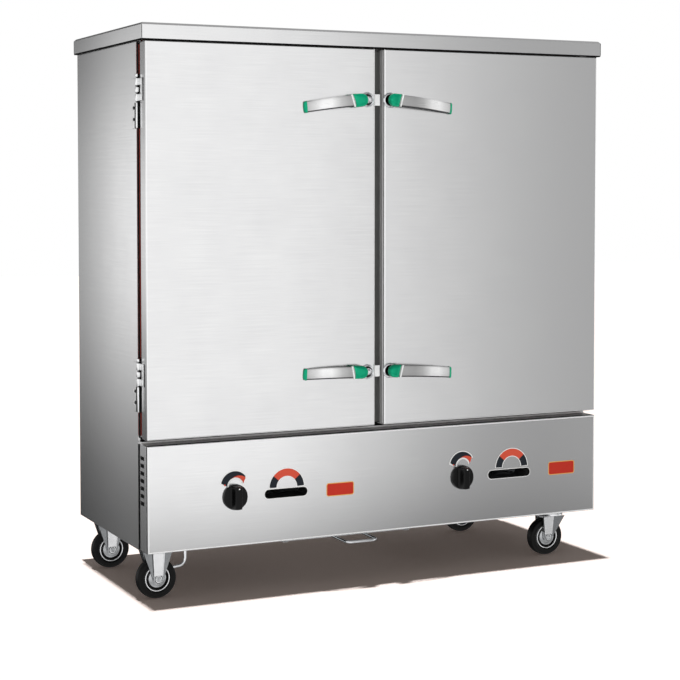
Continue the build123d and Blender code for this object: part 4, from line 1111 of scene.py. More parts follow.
@dataclass
class Knob:
    """A pressed knob: a round skirt, a grip bar across it and scoops on both sides.

    The dot is its shift to the right, its height over the middle, its radius and its top.
    """

    side: str
    x: float
    z: float
    radius: float = 35.0
    gap: float = 0.6
    skirt: float = 8.0
    height: float = 30.0
    bar: float = 19.0
    shoulder: float = 1.2
    flare: float = 9.0
    dot: tuple[float, float, float, float] = (1.0, 26.0, 1.8, 30.9)

    def rise(self, a: Array, b: Array) -> Array:
        """Height of the front over the skirt's foot: the skirt's, plus the bar's.

        The bar falls off beside it with a power of 3.2, and at its ends with a smooth step
        3e^2 - 2e^3 near the rim. The skirt's edge is rounded by a parabola.

        Args:
            a: Distances to the right of the middle.
            b: Distances over the middle.

        Returns:
            The heights.
        """
        beyond = np.clip((np.abs(a) - self.bar / 2 + self.shoulder) / (self.flare + self.shoulder), 0, 1)
        knee, drop, power = 0.12, 0.06, 3.2
        flank = (1 - drop) * (1 - (beyond - knee) / (1 - knee)) ** power
        top = np.where(beyond < knee, 1 - drop * (beyond / knee) ** 2, flank)
        outward = np.hypot(a, b)
        end = np.clip((self.radius - 0.8 - outward) / 3.4, 0, 1)
        edge = np.clip((self.radius - outward) / 1.6, 0, 1)
        step = end * end * (3 - 2 * end)
        return self.skirt - 1.4 * (1 - edge) ** 2 + (self.height - self.skirt) * top * step

    def make(self) -> None:
        """The front is a height over a grid of chords, and the wall drops from its edge to the back."""
        place = Place(self.x, FACE_Y, self.z)
        node, half = f"knob_{self.side}", self.bar / 2
        inside, outside, foot = half - self.shoulder, half + self.shoulder, half + self.flare
        near = np.concatenate(
            (
                np.linspace(0, inside, 5),
                inside + np.linspace(0, 1, 9)[1:] * 2 * self.shoulder,
                np.linspace(outside, foot, 9)[1:],
                np.linspace(foot, self.radius, 10)[1:],
            )
        )
        a = np.concatenate((-near[:0:-1], near))
        lift = 1 - (1 - np.linspace(0, 1, 16)) ** 2.2
        v = np.concatenate((-lift[:0:-1], lift))
        chord = np.sqrt(np.clip(self.radius**2 - a**2, 0, None))
        grid_a = np.broadcast_to(a[:, None], (len(a), len(v)))
        grid_b = chord[:, None] * v
        front = place.put(grid_a, grid_b, self.rise(grid_a, grid_b) + self.gap)
        around = np.concatenate((front[:, -1], front[::-1, 0][1:-1]))
        low = around.copy()
        low[:, 1] = FACE_Y - self.gap
        middle = np.broadcast_to(np.array([self.x, FACE_Y - self.gap, self.z]), low.shape)
        skin = Skin().add(front, columns=False).add(np.stack((around, low, middle)))
        fit(skin, f"grip_{node}", node, PHENOLIC, (node,))
        right, up, radius, top = self.dot
        spot = replace(place, x=self.x + right, z=self.z + up)
        fit(slab(ring_loop(radius, 24), spot, rim(top - 1.1, top, 0.2, 2)), f"pointer_dot_{self.side}", node, DOT_WHITE)


@dataclass
class Dial:
    """The printed scale over a knob: a dark crescent with a white border and a red wedge.

    The crescent lies between an outer and an inner circle with different middles, and a third
    circle parts the wedge from the dark. Each circle is its middle and its radius, and the dot
    also has its middle and radius.
    """

    side: str
    x: float
    z: float
    outer: tuple[float, float, float] = (-1.3, 30.3, 40.7)
    inner: tuple[float, float, float] = (1.0, 30.0, 23.6)
    parting: tuple[float, float, float] = (11.7, 26.7, 31.8)
    dot: tuple[float, float, float] = (-30.0, 34.5, 2.3)
    border: float = 2.6

    def arc(self, circle: tuple[float, float, float], first: float, last: float, grow: float = 0.0) -> Array:
        """Points of a circle between two angles.

        Args:
            circle: Its middle and its radius.
            first: Angle of the first point in degrees.
            last: Angle of the last point in degrees.
            grow: What is added to the radius.

        Returns:
            The points.
        """
        x, z, radius = circle
        return [x, z] + (radius + grow) * on_circle(np.radians(np.linspace(first, last, 49)))

    def make(self) -> None:
        """Builds the film's layers, each a little higher than the one before, and the dot at its low end."""
        place = Place(self.x, FACE_Y, self.z)
        low, high = (self.inner, 188, 8, -self.border - 2.0), (self.outer, 172, 33, self.border)
        for layer, near, far, top, finish in (
            ("border", low, high, 0.12, FILM_WHITE),
            ("band", (self.inner, 182, 14), (self.outer, 166, 38), 0.2, FILM_NAVY),
            ("wedge", (self.inner, 119, 13, 0.2), (self.parting, 133, 51), 0.26, FILM_RED),
        ):
            film = strip(self.arc(*near), self.arc(*far), place, SUNK, top)
            fit(Skin().add_strip(film), f"dial_{layer}_{self.side}", "cabinet", finish)
        right, up, radius = self.dot
        spot = replace(place, x=self.x + right, z=self.z + up)
        fit(slab(ring_loop(radius, 20), spot, rim(SUNK, 0.3, 0.05, 1)), f"dial_dot_{self.side}", "cabinet", FILM_RED)


@dataclass
class LightingMark:
    """The printed arch over a lighting port, and the plate's rim round the port.

    The arch has dark feet, a red crown and a white border. The opening is the port's length and
    height, and the flange is where the rim ends to the left and the right of the port's middle.
    """

    side: str
    x: float
    z: float
    port: tuple[float, float]
    flange: tuple[float, float] = (-64.5, 64.5)
    outer: float = 52.0
    inner: float = 31.5
    border: float = 2.2
    crown: tuple[float, float] = (40.0, 140.0)
    opening: tuple[float, float] = (125.0, 22.0)
    flange_height: float = 25.0
    film: float = 1.8

    def arch(self, first: float, last: float, top: float, grow: float = 0.0) -> list[Array]:
        """A film in the shape of an arch.

        Args:
            first: Angle of its first end in degrees.
            last: Angle of its last end in degrees.
            top: Height of its front.
            grow: What is added to it inside and outside.

        Returns:
            The wrap round it, and its ends.
        """
        unit = on_circle(np.radians(np.linspace(first, last, 49)))
        place = Place(self.x, FACE_Y, self.z)
        return strip(unit * (self.inner - grow), unit * (self.outer + grow), place, SUNK, top)

    def make(self) -> None:
        """Builds the film's layers and the plate's rim."""
        low, high = self.crown
        for layer, finish, arches in (
            ("border", FILM_WHITE, [self.arch(0.0, 180.0, 0.12, self.border)]),
            ("feet", FILM_NAVY, [self.arch(1.5, low, 0.2), self.arch(high, 178.5, 0.2)]),
            ("crown", FILM_RED, [self.arch(low, high, 0.22)]),
        ):
            skin = Skin()
            for arch in arches:
                skin.add_strip(arch)
            fit(skin, f"arch_{layer}_{self.side}", "cabinet", finish)
        self.port_rims()

    def port_rims(self) -> None:
        """The black flange round the port's mouth and the white film round that."""
        mouth = Place(self.port[0], FACE_Y, self.port[1])
        left, right = self.flange
        width, height = right - left, self.flange_height
        middle = [(left + right) / 2, 0.0]
        opening = rounded_loop(*self.opening, 11.0)
        black = rounded_loop(width, height, 12.0) + middle
        white = rounded_loop(width + self.film * 2, height + self.film * 2, 14.0) + middle
        # The white film's inner edge lies hidden under the flange
        for layer, near, far, top, finish in (
            ("flange", opening, black, 0.3, SHADE_AND_JOINT_BLACK),
            ("border", black * [0.99, 0.9], white, 0.12, FILM_WHITE),
        ):
            ring = strip(near, far, mouth, SUNK, top)[0]
            fit(Skin().add(ring, rows=True), f"port_{layer}_{self.side}", "cabinet", finish)


@dataclass
class LabelPlate:
    """A bare printed plate with rounded corners and an amber border."""

    side: str
    x: float
    z: float
    width: float = 86.0
    height: float = 38.0
    radius: float = 7.0
    border: float = 2.4

    def make(self) -> None:
        """Builds the border and the bare field on it, each a plate inset from the last."""
        place = Place(self.x, FACE_Y, self.z)
        for layer, less, top, finish in (("border", 0.0, 0.2, FILM_AMBER), ("field", self.border, 0.32, LABEL_RED)):
            loop = rounded_loop(self.width - less * 2, self.height - less * 2, self.radius - less)
            fit(slab(loop, place, rim(SUNK, top, 0.1, 2)), f"label_{layer}_{self.side}", "cabinet", finish)


@dataclass
class Door:
    """One door: the outer pan with rolled edges, and the raised steel panel inside it.

    The pan's edges are quarter ellipses: small ones all round, and a longer one where it meets
    the other door. The trim is the strip's width, its thickness and its distance behind the face.
    """

    side: str
    sheet: float = 1.2
    edge: float = 4.0
    meeting_edge: tuple[float, float] = (5.0, 14.0)
    corner: float = 3.4
    field_inset: float = 30.0
    field_slope: float = 7.0
    field_rise: float = 6.0
    trim: tuple[float, float, float] = (20.0, 1.6, 14.5)

    def make(self) -> None:
        """Builds the pan, the strip on its meeting edge and the inner panel."""
        node, body = f"door_skin_{self.side}", f"door_{self.side}"
        low, high = corners(node)
        width, depth, height = high - low
        middle = (low + high) / 2
        quarter = 1 - np.cos(np.linspace(0, np.pi / 2, 9))
        deep = np.unique(np.concatenate((quarter * self.meeting_edge[1], quarter[:7] * self.edge)).round(3))
        edge, meeting = roll(deep, self.edge, self.edge), roll(deep, *self.meeting_edge)
        sides = (edge, meeting) if self.side == "left" else (meeting, edge)
        front = np.stack((*sides, edge, edge), -1)[::-1]
        inner = np.full((2, 4), self.sheet)
        rows = np.vstack((inner, np.zeros((1, 4)), front, front[-1:] + 0.5))
        heights = np.concatenate(([depth - self.sheet, 0.0, 0.0], depth - deep[::-1], [depth]))
        pan = capped(nested(width, height, self.corner, rows), Place(middle[0], high[1], middle[2]), heights)
        fit(pan, f"door_pan_{self.side}", body, DOOR_STEEL, (node,))
        # The strip on the meeting side is painted light
        x, facing = (high[0], Facing.RIGHT) if self.side == "left" else (low[0], Facing.LEFT)
        wide, thick, back = self.trim
        spot = Place(x, FACE_Y + back, middle[2], facing)
        trim = slab(rounded_loop(wide, height - 6.0, 1.0, 3), spot, rim(SUNK, thick, 1.5, 5))
        fit(trim, f"door_edge_strip_{self.side}", body, EDGE_STRIP_LIGHT)
        gap = self.sheet * 2 + 0.2
        panel = (width - gap, depth - self.meeting_edge[1] - 2.0, height - gap)
        self.inner_panel(Place(middle[0], high[1], middle[2], Facing.BACK), panel)

    def inner_panel(self, place: Place, size: tuple[float, float, float]) -> None:
        """The inner panel: a tray whose raised field rises by a smooth step of cosines at its inset.

        Args:
            place: Middle of the door's back.
            size: Width, depth and height of the tray.
        """
        width, depth, height = size
        turn = np.linspace(0, np.pi, 9)
        rise = (1 - np.cos(turn)) / 2 * self.field_rise
        step = self.field_inset + turn / np.pi * self.field_slope
        insets = np.concatenate(([0.4, 0.0, 0.0, 0.4, 1.0], step, step[-1:] + 1.0))
        heights = np.concatenate(([-depth, -depth + 0.4, -0.7, -0.3, -0.3], rise - 0.3, [self.field_rise - 0.3]))
        panel = capped(nested(width, height, 3.0, np.repeat(insets[:, None], 4, 1)), place, heights)
        fit(panel, f"door_inner_panel_{self.side}", f"door_{self.side}", PANEL_FACE, (f"door_inner_{self.side}",))


@dataclass
class Mullion:
    """The cover on the post between the doors, painted dark grey as the shade in the gap, and the two keepers that
    stand out from it.

    The cover is its width and how far its front lies behind the doors' face, and the keepers'
    middle is this far left of the post's.
    """

    cover: tuple[float, float] = (30.6, 44.0)
    keeper_size: tuple[float, float] = (16.0, 32.0)
    stem_size: tuple[float, float] = (6.0, 24.0)
    keeper_front: float = 5.0
    keeper_shift: float = 3.9

    def make(self) -> None:
        """Builds the cover as a long plate, and each keeper as a stem with a bent plate on it."""
        low, high = corners("door_skin_left")
        x = (high[0] + corners("door_skin_right")[0][0]) / 2
        place = Place(x, FACE_Y, (low[2] + high[2]) / 2)
        width, front = self.cover
        loop = rounded_loop(width, high[2] - low[2] - 6.0, 1.2, 3)
        cover = slab(loop, place, rim(FACE_Y - FRAME_Y + 0.2, -front, 0.8, 3))
        fit(cover, "mullion_cover", "cabinet", SHADED_MULLION_GREY)
        keepers = Skin()
        for z in LATCH_LEVELS.values():
            spot = Place(x - self.keeper_shift, FACE_Y, z)
            for size, back, near in (
                (self.keeper_size, self.keeper_front + 3.0, self.keeper_front),
                (self.stem_size, front + 1.0, self.keeper_front + 2.0),
            ):
                keepers.add(slab(rounded_loop(*size, 1.4, 4), spot, rim(-back, -near, 0.8, 4, under=0.4)))
        fit(keepers, "keeper_plates", "cabinet", KEEPER_STEEL, ("keepers",))


def plate(
    across: tuple[float, float], tall: tuple[float, float], place: Place, back: float, front: float,
    radius: float = 1.0,
) -> Array:
    """A rounded oblong plate between two distances to the right and two heights, measured from the place.

    Args:
        across: Its left and right side.
        tall: Its foot and top.
        place: Where it lies.
        back: Height of its back.
        front: Height of its front.
        radius: Corner radius.

    Returns:
        The grid of points.
    """
    loop = rounded_loop(across[1] - across[0], tall[1] - tall[0], radius, 3) + [sum(across) / 2, sum(tall) / 2]
    return slab(loop, place, rim(back, front, min(0.6, (front - back) / 2), 3))


def side_place(sign: float, x: float, z: float = 0.0) -> Place:
    """The cabinet's side: distances to the right run backwards from the face on both sides."""
    return Place(sign * x, FACE_Y, z, Facing.RIGHT) if sign > 0 else Place(-x, FACE_Y, z, Facing.LEFT, flip=-1.0)


@dataclass
class Joints:
    """The black lines painted as shade in the shell's joints and gaps, the panel's folded sides with their vents, and
    the highlights painted on its edges.

    The seal is its depth and width. The depths run backwards from the doors' face: the fold, the
    joint before it, the joint on the panel's top, the end of the ledge behind that and the start
    The seal is the depth and width of the black strip under the lid's edge, which is painted shade.
    The depths run backwards from the doors' face: the fold, the joint before it, the joint on the
    panel's top, the end of the ledge behind that and the start of the frame's lips. The ledge's
    joint is two heights over the panel.
    """

    seal: tuple[float, float] = (3.4, 7.4)
    line: float = 2.0
    vents: int = 7
    vent_pitch: float = 20.4
    vent_size: tuple[float, float] = (29.0, 10.5)
    vent_middle: tuple[float, float] = (40.5, 326.8)
    fold: tuple[float, float] = (10.0, 64.0)
    fold_joint: tuple[float, float] = (2.5, 9.0)
    top_joint: tuple[float, float] = (3.0, 18.0)
    ledge_end: float = 64.5
    lip_start: float = 61.0
    lip_half: float = 709.3
    inside_half: float = 709.0
    shell_edge: tuple[float, float] = (712.2, 715.0)
    ledge_joint: tuple[float, float] = (4.0, 17.0)

    def make(self) -> None:
        """Builds the lid's joints and then the control panel's."""
        self.lid()
        self.panel()

    def lid(self) -> None:
        """The black strips painted as shade under the lid, in the lid's corner joints and on the frame's lips beside
        the gaskets.
        """
        low, high = corners("top_cover")
        middle = (low + high) / 2
        drop, width = self.seal
        # A black strip under the lid's edge: painted shade in the gap below the lid
        section = np.array([[-width, -drop], [0.0, -drop], [0.0, 0.0], [-width, 0.0]])
        under = Place(middle[0], middle[1], low[2], Facing.TOP)
        ring = mitred_frame(high[0] - low[0] - 1.6, high[1] - low[1] - 1.6, section, under)
        fit(Skin().add(ring, rows=True), "lid_edge_shade_strip", "cabinet", SHADE_AND_JOINT_BLACK)
        lines, lips = Skin(), Skin()
        front = Place(0.0, low[1], low[2])
        door = tuple(corner[2] for corner in corners("door_skin_left"))
        half = self.line / 2
        for _, s in SIDES:
            # The lid's corner joints and the frame's lips beside the gaskets are painted black as the shade in them
            edge = s * (high[0] - half - 0.3)
            lines.add(plate((edge - half, edge + half), (0.6, high[2] - low[2] - 6.4), front, -0.4, 0.15, 0.5))
            depths = (self.lip_start, FRAME_Y - FACE_Y + 0.2)
            lips.add(plate(depths, door, side_place(s, self.lip_half), 0.0, 2.6))
        fit(lines, "lid_corner_joints", "cabinet", SHADE_AND_JOINT_BLACK)
        fit(lips, "frame_side_lips", "cabinet", SHADE_AND_JOINT_BLACK)

    def panel(self) -> None:
        """The panel's folded sides with their vents, its corner and top joints painted black as shade, its ledge in
        painted light and its edges' painted highlight.
        """
        low, high = corners("control_panel")
        foot, head = low[2], high[2]
        tall = (foot + 1.5, head - 1.5)
        folds, vents, joints = Skin(), Skin(), Skin()
        frame_front = Place(0.0, FRAME_Y, 0.0)
        for _, s in SIDES:
            spot = side_place(s, high[0])
            folds.add(plate(self.fold, tall, spot, SUNK, 0.25))
            # Black strips at the panel's corners and beside it on the frame: painted shade where the front meets its
            # folds
            joints.add(plate(self.fold_joint, tall, spot, -0.4, 0.3))
            edge = tuple(sorted(s * x for x in self.shell_edge))
            joints.add(plate(edge, (foot + 1.0, head), frame_front, SUNK, 0.4, 0.6))
            self.add_vents(vents, spot)
        top = Place(0.0, FACE_Y, head, Facing.TOP)
        inside = (-self.inside_half, self.inside_half)
        ledge_width = (-self.inside_half + 1.0, self.inside_half - 1.0)
        # Black strips on the panel's top and on the frame above it: painted shade under the doors
        joints.add(plate(ledge_width, self.top_joint, top, SUNK, 0.2))
        joints.add(plate(inside, tuple(head + up for up in self.ledge_joint), frame_front, SUNK, 2.0))
        # A white strip on the panel's top and along the frame above it: painted light on the ledge
        ledge = Skin().add(plate(ledge_width, (self.top_joint[1], self.ledge_end), top, SUNK, 0.2))
        ledge.add(plate(inside, (head - 0.1, head + self.ledge_joint[0] + 0.2), frame_front, SUNK, 1.6))
        fit(ledge, "panel_ledge_strip", "cabinet", EDGE_HIGHLIGHT)
        fit(folds, "panel_side_folds", "cabinet", SIDE_STEEL)
        fit(vents, "panel_vent_mouths", "cabinet", SHADE_AND_JOINT_BLACK)
        fit(joints, "panel_joints", "cabinet", SHADE_AND_JOINT_BLACK)
        # A white ring round the panel's front: painted highlight on its edges
        section = np.array([[-1.2, SUNK], [1.2, SUNK], [1.2, 0.15], [-1.2, 0.15]])
        ring = mitred_frame(high[0] * 2 - 6.4, head - foot - 6.4, section, Place(0.0, FACE_Y, (foot + head) / 2))
        fit(Skin().add(ring, rows=True), "panel_edge_painted_highlight", "cabinet", EDGE_HIGHLIGHT)

    def add_vents(self, skin: Skin, spot: Place) -> None:
        """Adds the mouths of one side's vents, painted black as the shade inside them, spaced evenly about their
        middle.

        Args:
            skin: What gathers them.
            spot: The panel's side.
        """
        (y, z), (wide, height) = self.vent_middle, self.vent_size
        for middle in z + (np.arange(self.vents) - (self.vents - 1) / 2) * self.vent_pitch:
            across, tall = (y - wide / 2, y + wide / 2), (middle - height / 2, middle + height / 2)
            skin.add(plate(across, tall, spot, SUNK, 0.4))


@dataclass
class Hinge:
    """One hinge: the cabinet's plate with two screws, the door's leaf with two fingers, and the pin.

    The axis is its distance from the cabinet's middle and behind the doors' face. The leaf, the
    tongue and the cap are heights of barrel parts over the hinge's foot. The other pairs are
    depths behind the face, and the skins are how far out the leaf's and the plate's sheet lie.
    """

    side: str
    level: str
    z: float
    axis: tuple[float, float] = (717.0, 55.0)
    barrel: float = 5.0
    rounding: float = 1.4
    leaf: tuple[float, float] = (72.0, 134.0)
    tongue: tuple[float, float] = (95.5, 110.5)
    cap: tuple[float, float] = (136.5, 145.5)
    skins: tuple[float, float, float] = (709.2, 712.0, 715.0)
    shade: tuple[float, float] = (42.6, 60.4)
    groove_shade: tuple[float, float] = (16.0, 23.0)
    wing: tuple[float, float] = (66.8, 95.0)
    shaded_seam: tuple[float, float] = (66.9, 74.0)
    tongue_plate: tuple[float, float] = (46.0, 67.4)
    finger: tuple[float, float] = (30.0, 57.0)
    web: tuple[float, float] = (24.5, 37.0)
    screws: tuple[float, float] = (24.5, 55.0)
    screw_out: float = 717.1
    screw_depth: float = 80.0

    def barrel_part(self, place: Place, low: float, high: float, slim: float = 0.0) -> Array:
        """A turned barrel between two heights, with its ends rounded by quarter circles.

        Args:
            place: Foot of the hinge's axis.
            low: Where the barrel begins.
            high: Where it ends.
            slim: How much thinner than the hinge's barrel it is.

        Returns:
            The grid of points.
        """
        turn = np.linspace(0, np.pi / 2, 5)
        r, bend = self.barrel - slim, self.rounding
        top = np.stack((r - bend + bend * np.cos(turn), high - bend + bend * np.sin(turn)), -1)
        foot = np.stack((r - bend + bend * np.sin(turn), low + bend - bend * np.cos(turn)), -1)
        return lathe(np.vstack(([[0, low]], foot, top, [[0, high]])), place, 32)

    def make(self) -> None:
        """Builds the black strips painted as shade in the gaps, the plate, the leaf, their barrels and fingers, the
        pin's head and the screws.
        """
        s = -1.0 if self.side == "left" else 1.0
        tail, door, leaves = f"{self.level}_{self.side}", f"door_{self.side}", f"door_hinge_leaves_{self.side}"
        pin = Place(s * self.axis[0], FACE_Y + self.axis[1], self.z, Facing.TOP)
        recess, spot, on_panel = (side_place(s, out, self.z) for out in self.skins)
        (low, high), (first, last) = self.leaf, self.tongue
        # Black strips painted as shade in the gaps beside the leaf and over the wing's front
        shade = Skin().add(plate(self.shade, (0.0, self.cap[1] - 0.5), recess, 0.0, 2.8))
        shade.add(plate(self.groove_shade, (low, high), spot, SUNK, 0.3, 2.0))
        wing = plate(self.wing, (0.0, high), on_panel, 0.0, 2.2, 3.0)
        shaded_seam = plate(self.shaded_seam, (0.5, low - 3.0), on_panel, 0.0, 2.5)
        fixed = Skin().add(self.barrel_part(pin, 0.4, low - 3.0, 1.8)).add(self.barrel_part(pin, first, last))
        fixed.add(plate(self.tongue_plate, (first + 1.0, last - 1.0), on_panel, -0.6, 2.4))
        swung, heads, rings = Skin(), Skin(), Skin()
        for begin, end in ((low, first - 3.5), (last + 3.5, high)):
            swung.add(self.barrel_part(pin, begin, end))
            swung.add(plate(self.finger, (begin + 1.0, end - 1.0), spot, 0.0, 3.4))
        swung.add(plate(self.web, (low + 1.0, high - 1.0), spot, 0.0, 2.2))
        # Turned profiles of a screw's head and of the pressed seat behind it: radius and height
        head = [[0, 0], [4.6, 0], [4.6, 0.4], [4.2, 1.4], [3.0, 2.2], [1.2, 2.5], [1.0, 1.6], [0, 1.6]]
        seat = [[0, 0], [6.4, 0], [6.2, 0.5], [0, 0.5]]
        for z in self.screws:
            place = replace(side_place(s, self.screw_out), y=FACE_Y + self.screw_depth, z=self.z + z)
            heads.add(lathe(head, place, 32))
            rings.add(lathe(seat, replace(place, y=place.y + 8.0), 32))
        for name, shape, body, finish, node in (
            ("shade", shade, door, SHADE_AND_JOINT_BLACK, leaves),
            ("wing", wing, "cabinet", SIDE_STEEL, "hinge_plates"),
            ("shaded_seam", shaded_seam, "cabinet", SHADE_AND_JOINT_BLACK, "hinge_plates"),
            ("plate", fixed, "cabinet", HINGE_STEEL, "hinge_plates"),
            ("leaf", swung, door, HINGE_STEEL, leaves),
            ("pin", self.barrel_part(pin, *self.cap), "cabinet", HINGE_STEEL, "hinge_pins"),
            ("screws", heads, "cabinet", SCREW_STEEL, "hinge_plates"),
            ("screw_seats", rings, "cabinet", KEEPER_STEEL, "hinge_plates"),
        ):
            fit(shape, f"hinge_{name}_{tail}", body, finish, (node,))


@dataclass
class Gasket:
    """The silicone seal of a door: a flat foot and a hollow-looking bulb with a lip."""

    side: str
    inset: float = 3.0
    width: float = 18.0
    foot: float = 6.0
    reach: float = 22.7
    bulb: float = 7.0
    waist: tuple[float, float] = (5.0, 0.6)

    def section(self) -> Array:
        """Closed section: a foot with square sides, then half an ellipse for the bulb.

        Returns:
            Rows of outward distance and height.
        """
        turn = np.linspace(0, np.pi, 17)
        middle, root = -self.inset - self.width / 2, self.foot + 4.0
        half, (neck, lift) = self.width / 2, self.waist
        bulb = np.stack((middle + self.bulb * np.cos(turn), root + (self.reach - root) * np.sin(turn)), -1)
        left, right = middle - half, middle + half
        foot = [[left, self.foot], [left, 0.0], [right, 0.0], [right, self.foot], [middle + neck, self.foot + lift]]
        return np.vstack((foot, bulb, [[middle - neck, self.foot + lift]]))

    def make(self) -> None:
        """Carries the section round the door's back with mitred corners."""
        low, high = corners(f"door_skin_{self.side}")
        middle = (low + high) / 2
        place = Place(middle[0], high[1], middle[2], Facing.BACK)
        grid = mitred_frame(high[0] - low[0], high[2] - low[2], self.section(), place)
        seal = Skin().add(grid, rows=True)
        fit(seal, f"bulb_gasket_{self.side}", f"door_{self.side}", SILICONE, (f"door_gasket_{self.side}",))


@dataclass
class Wheel:
    """A caster wheel with its rubber tyre and pressed zinc rim, and the webs and bolt of its fork.

    The fork's sheet lies this far from the wheel's middle, and the bolt's head a little further.
    The webs are the left and right end of their upper edge and its height over the axle, one
    set for the rigid forks on the left and one for the swivelling forks on the right.
    """

    name: str
    tyre_radius: float = 55.29
    half_width: float = 16.0
    rim_radius: float = 35.5
    roundness: float = 3.4
    fork_half: float = 21.0
    bolt_half: float = 24.2
    rigid_web: tuple[float, float, float] = (-42.0, 42.0, 77.0)
    swivel_web: tuple[float, float, float] = (-17.0, 59.0, 62.0)

    def make(self) -> None:
        """Turns the tyre's superellipse section and the rim's stepped profile round the axle."""
        name = self.name
        low, high = corners(f"tyre_{name}")
        middle = (low + high) / 2
        place = Place(*middle)
        turn = np.linspace(0, 2 * np.pi, 36, endpoint=False)
        cos, sin = (np.sign(v) * np.abs(v) ** (2 / self.roundness) for v in (np.cos(turn), np.sin(turn)))
        mid, half = (self.tyre_radius + self.rim_radius) / 2, (self.tyre_radius - self.rim_radius) / 2
        section = np.stack((mid + half * cos, self.half_width * sin), -1)
        tyre = Skin().add(lathe(section, place, 96), rows=True)
        fit(tyre, f"rubber_tyre_{name}", f"wheel_{name}", RUBBER, (f"tyre_{name}",))
        # Half the rim's profile from the bore out: radius and distance from the wheel's middle
        half_rim = np.array(
            [
                [5.1, 18.0], [11.0, 18.0], [12.0, 17.4], [12.6, 15.0], [23.2, 14.2], [24.4, 13.6], [24.8, 12.6],
                [25.0, 7.5], [25.6, 7.0], [31.0, 7.0], [31.6, 7.6], [31.9, 14.2], [32.5, 15.2], [33.6, 15.6],
                [34.8, 15.2], [35.5, 14.0], [35.5, 0.0],
            ]
        )
        profile = np.vstack((half_rim, half_rim[::-1][1:] * [1, -1]))
        radii, depths = profile[:, 0], np.abs(profile[:, 1])
        # The rim's groove is painted shade: it wears the tyre's black rubber
        groove_shade = (radii > 24.9) & (radii < 31.7) & (depths > 6.9) & (depths < 13.0)
        tints = np.where(groove_shade, 1, np.where(radii < 24.7, 2, 0))[:, None]
        rim_skin = Skin().add(lathe(profile, place, 80), rows=True, tint=tints)
        fit(rim_skin, f"zinc_rim_{name}", f"wheel_{name}", ZINC, (f"wheel_rim_{name}",), (RUBBER, HUB_ZINC))
        self.fork_sides(middle)

    def fork_sides(self, middle: Array) -> None:
        """The fork's webs, painted darker as shade, with their ribs, and the axle bolt's turned head on its seat,
        painted dark as shade.

        Args:
            middle: Middle of the wheel.
        """
        row, side = self.name.split("_")
        body = "cabinet" if side == "left" else f"swivel_{row}"
        # Turned profile of the washer and head, with a dimple: radius and height
        head = np.array(
            [
                [0, 0], [14.0, 0], [14.4, 0.5], [14.0, 1.2], [11.6, 1.3], [11.2, 0.9], [8.6, 0.9], [8.2, 1.5],
                [7.9, 2.0], [7.6, 4.0], [6.6, 4.7], [3.4, 4.7], [2.6, 4.1], [0, 4.0],
            ]
        )
        radii = head[:-1, 0]
        # The washer's ring between head and rim is painted dark as shade
        shaded_seats = ((radii > 8.0) & (radii < 12.0)).astype(int)[:, None]
        left, right, tall = self.rigid_web if side == "left" else self.swivel_web
        web = np.array([[-14.8, -2.0], [14.8, -2.0], [right, tall], [left, tall]])
        # A dark plate a little wider than each rib paints the shade round the rib's edges
        shaded_seam = np.array([[-14.6, 8.0], [14.6, 8.0], [18.4, tall - 0.2], [-18.4, tall - 0.2]])
        rib = np.array([[-12.5, 9.0], [12.5, 9.0], [16.0, tall - 0.5], [-16.0, tall - 0.5]])
        bolts, webs = Skin(), Skin()
        for facing, s in ((Facing.FRONT, -1.0), (Facing.BACK, 1.0)):
            place = Place(middle[0], middle[1] + s * self.fork_half, middle[2], facing, flip=-s)
            bolts.add(lathe(head, replace(place, y=middle[1] + s * self.bolt_half), 48), tint=shaded_seats)
            webs.add(slab(web, place, rim(0.0, 1.6, 0.6, 3)))
            bolts.add(slab(shaded_seam, place, rim(0.0, 2.4, 0.6, 3)), tint=1)
            bolts.add(slab(rib, place, rim(0.0, 4.6, 1.6, 4)), tint=2)
        fit(webs, f"fork_webs_{self.name}", body, SHADED_WEB_ZINC)
        fit(bolts, f"axle_bolt_{self.name}", body, HUB_ZINC, (), (SHADED_SEAT_ZINC, ZINC))


@dataclass
class TrayPull:
    """The drip tray with a rolled rim, and its bent wire pull."""

    wire: float = 4.2
    bend: float = 18.0
    pull_width: float = 96.0
    pull_length: float = 100.0
    pull_z: float = 113.0
    sheet: float = 1.2
    rolled: float = 1.8

    def make(self) -> None:
        """Builds the wire pull and the pan."""
        low, high = corners("drip_tray")
        x, z, half = (low[0] + high[0]) / 2, self.pull_z, self.pull_width / 2
        front_y = low[1] + self.wire
        tray_y = front_y + self.pull_length
        left, right, end_y = x - half, x + half, tray_y + 4
        points = np.array([[left, end_y, z], [left, front_y, z], [right, front_y, z], [right, end_y, z]])
        wire = tube(bent_path(points, self.bend, 10), self.wire, (0.0, 0.0, 1.0))
        fit(wire, "tray_wire_pull", "drip_tray", CHROME_WIRE, ("drip_tray",))
        # The pan's wall from its foot up, round the rolled rim and down inside: inset and height
        sheet, rise = self.sheet, high[2] - low[2]
        profile = np.array(
            [
                [0.6, 0.0], [0.0, 0.6], [0.0, rise - 2.6], [-1.2, rise - 2.2], [-1.8, rise - 1.2],
                [-1.4, rise - 0.3], [-0.2, rise], [0.8, rise - 0.5], [sheet, rise - 1.6], [sheet, sheet + 1.0],
                [sheet + 1.0, sheet],
            ]
        )
        profile[:, 0] += self.rolled
        place = Place(x, (tray_y + high[1]) / 2, low[2], Facing.TOP)
        pan = slab(rounded_loop(high[0] - low[0], high[1] - tray_y, 5.0, 6), place, profile)
        fit(pan, "drip_pan", "drip_tray", LINER_STEEL, ("drip_tray",))


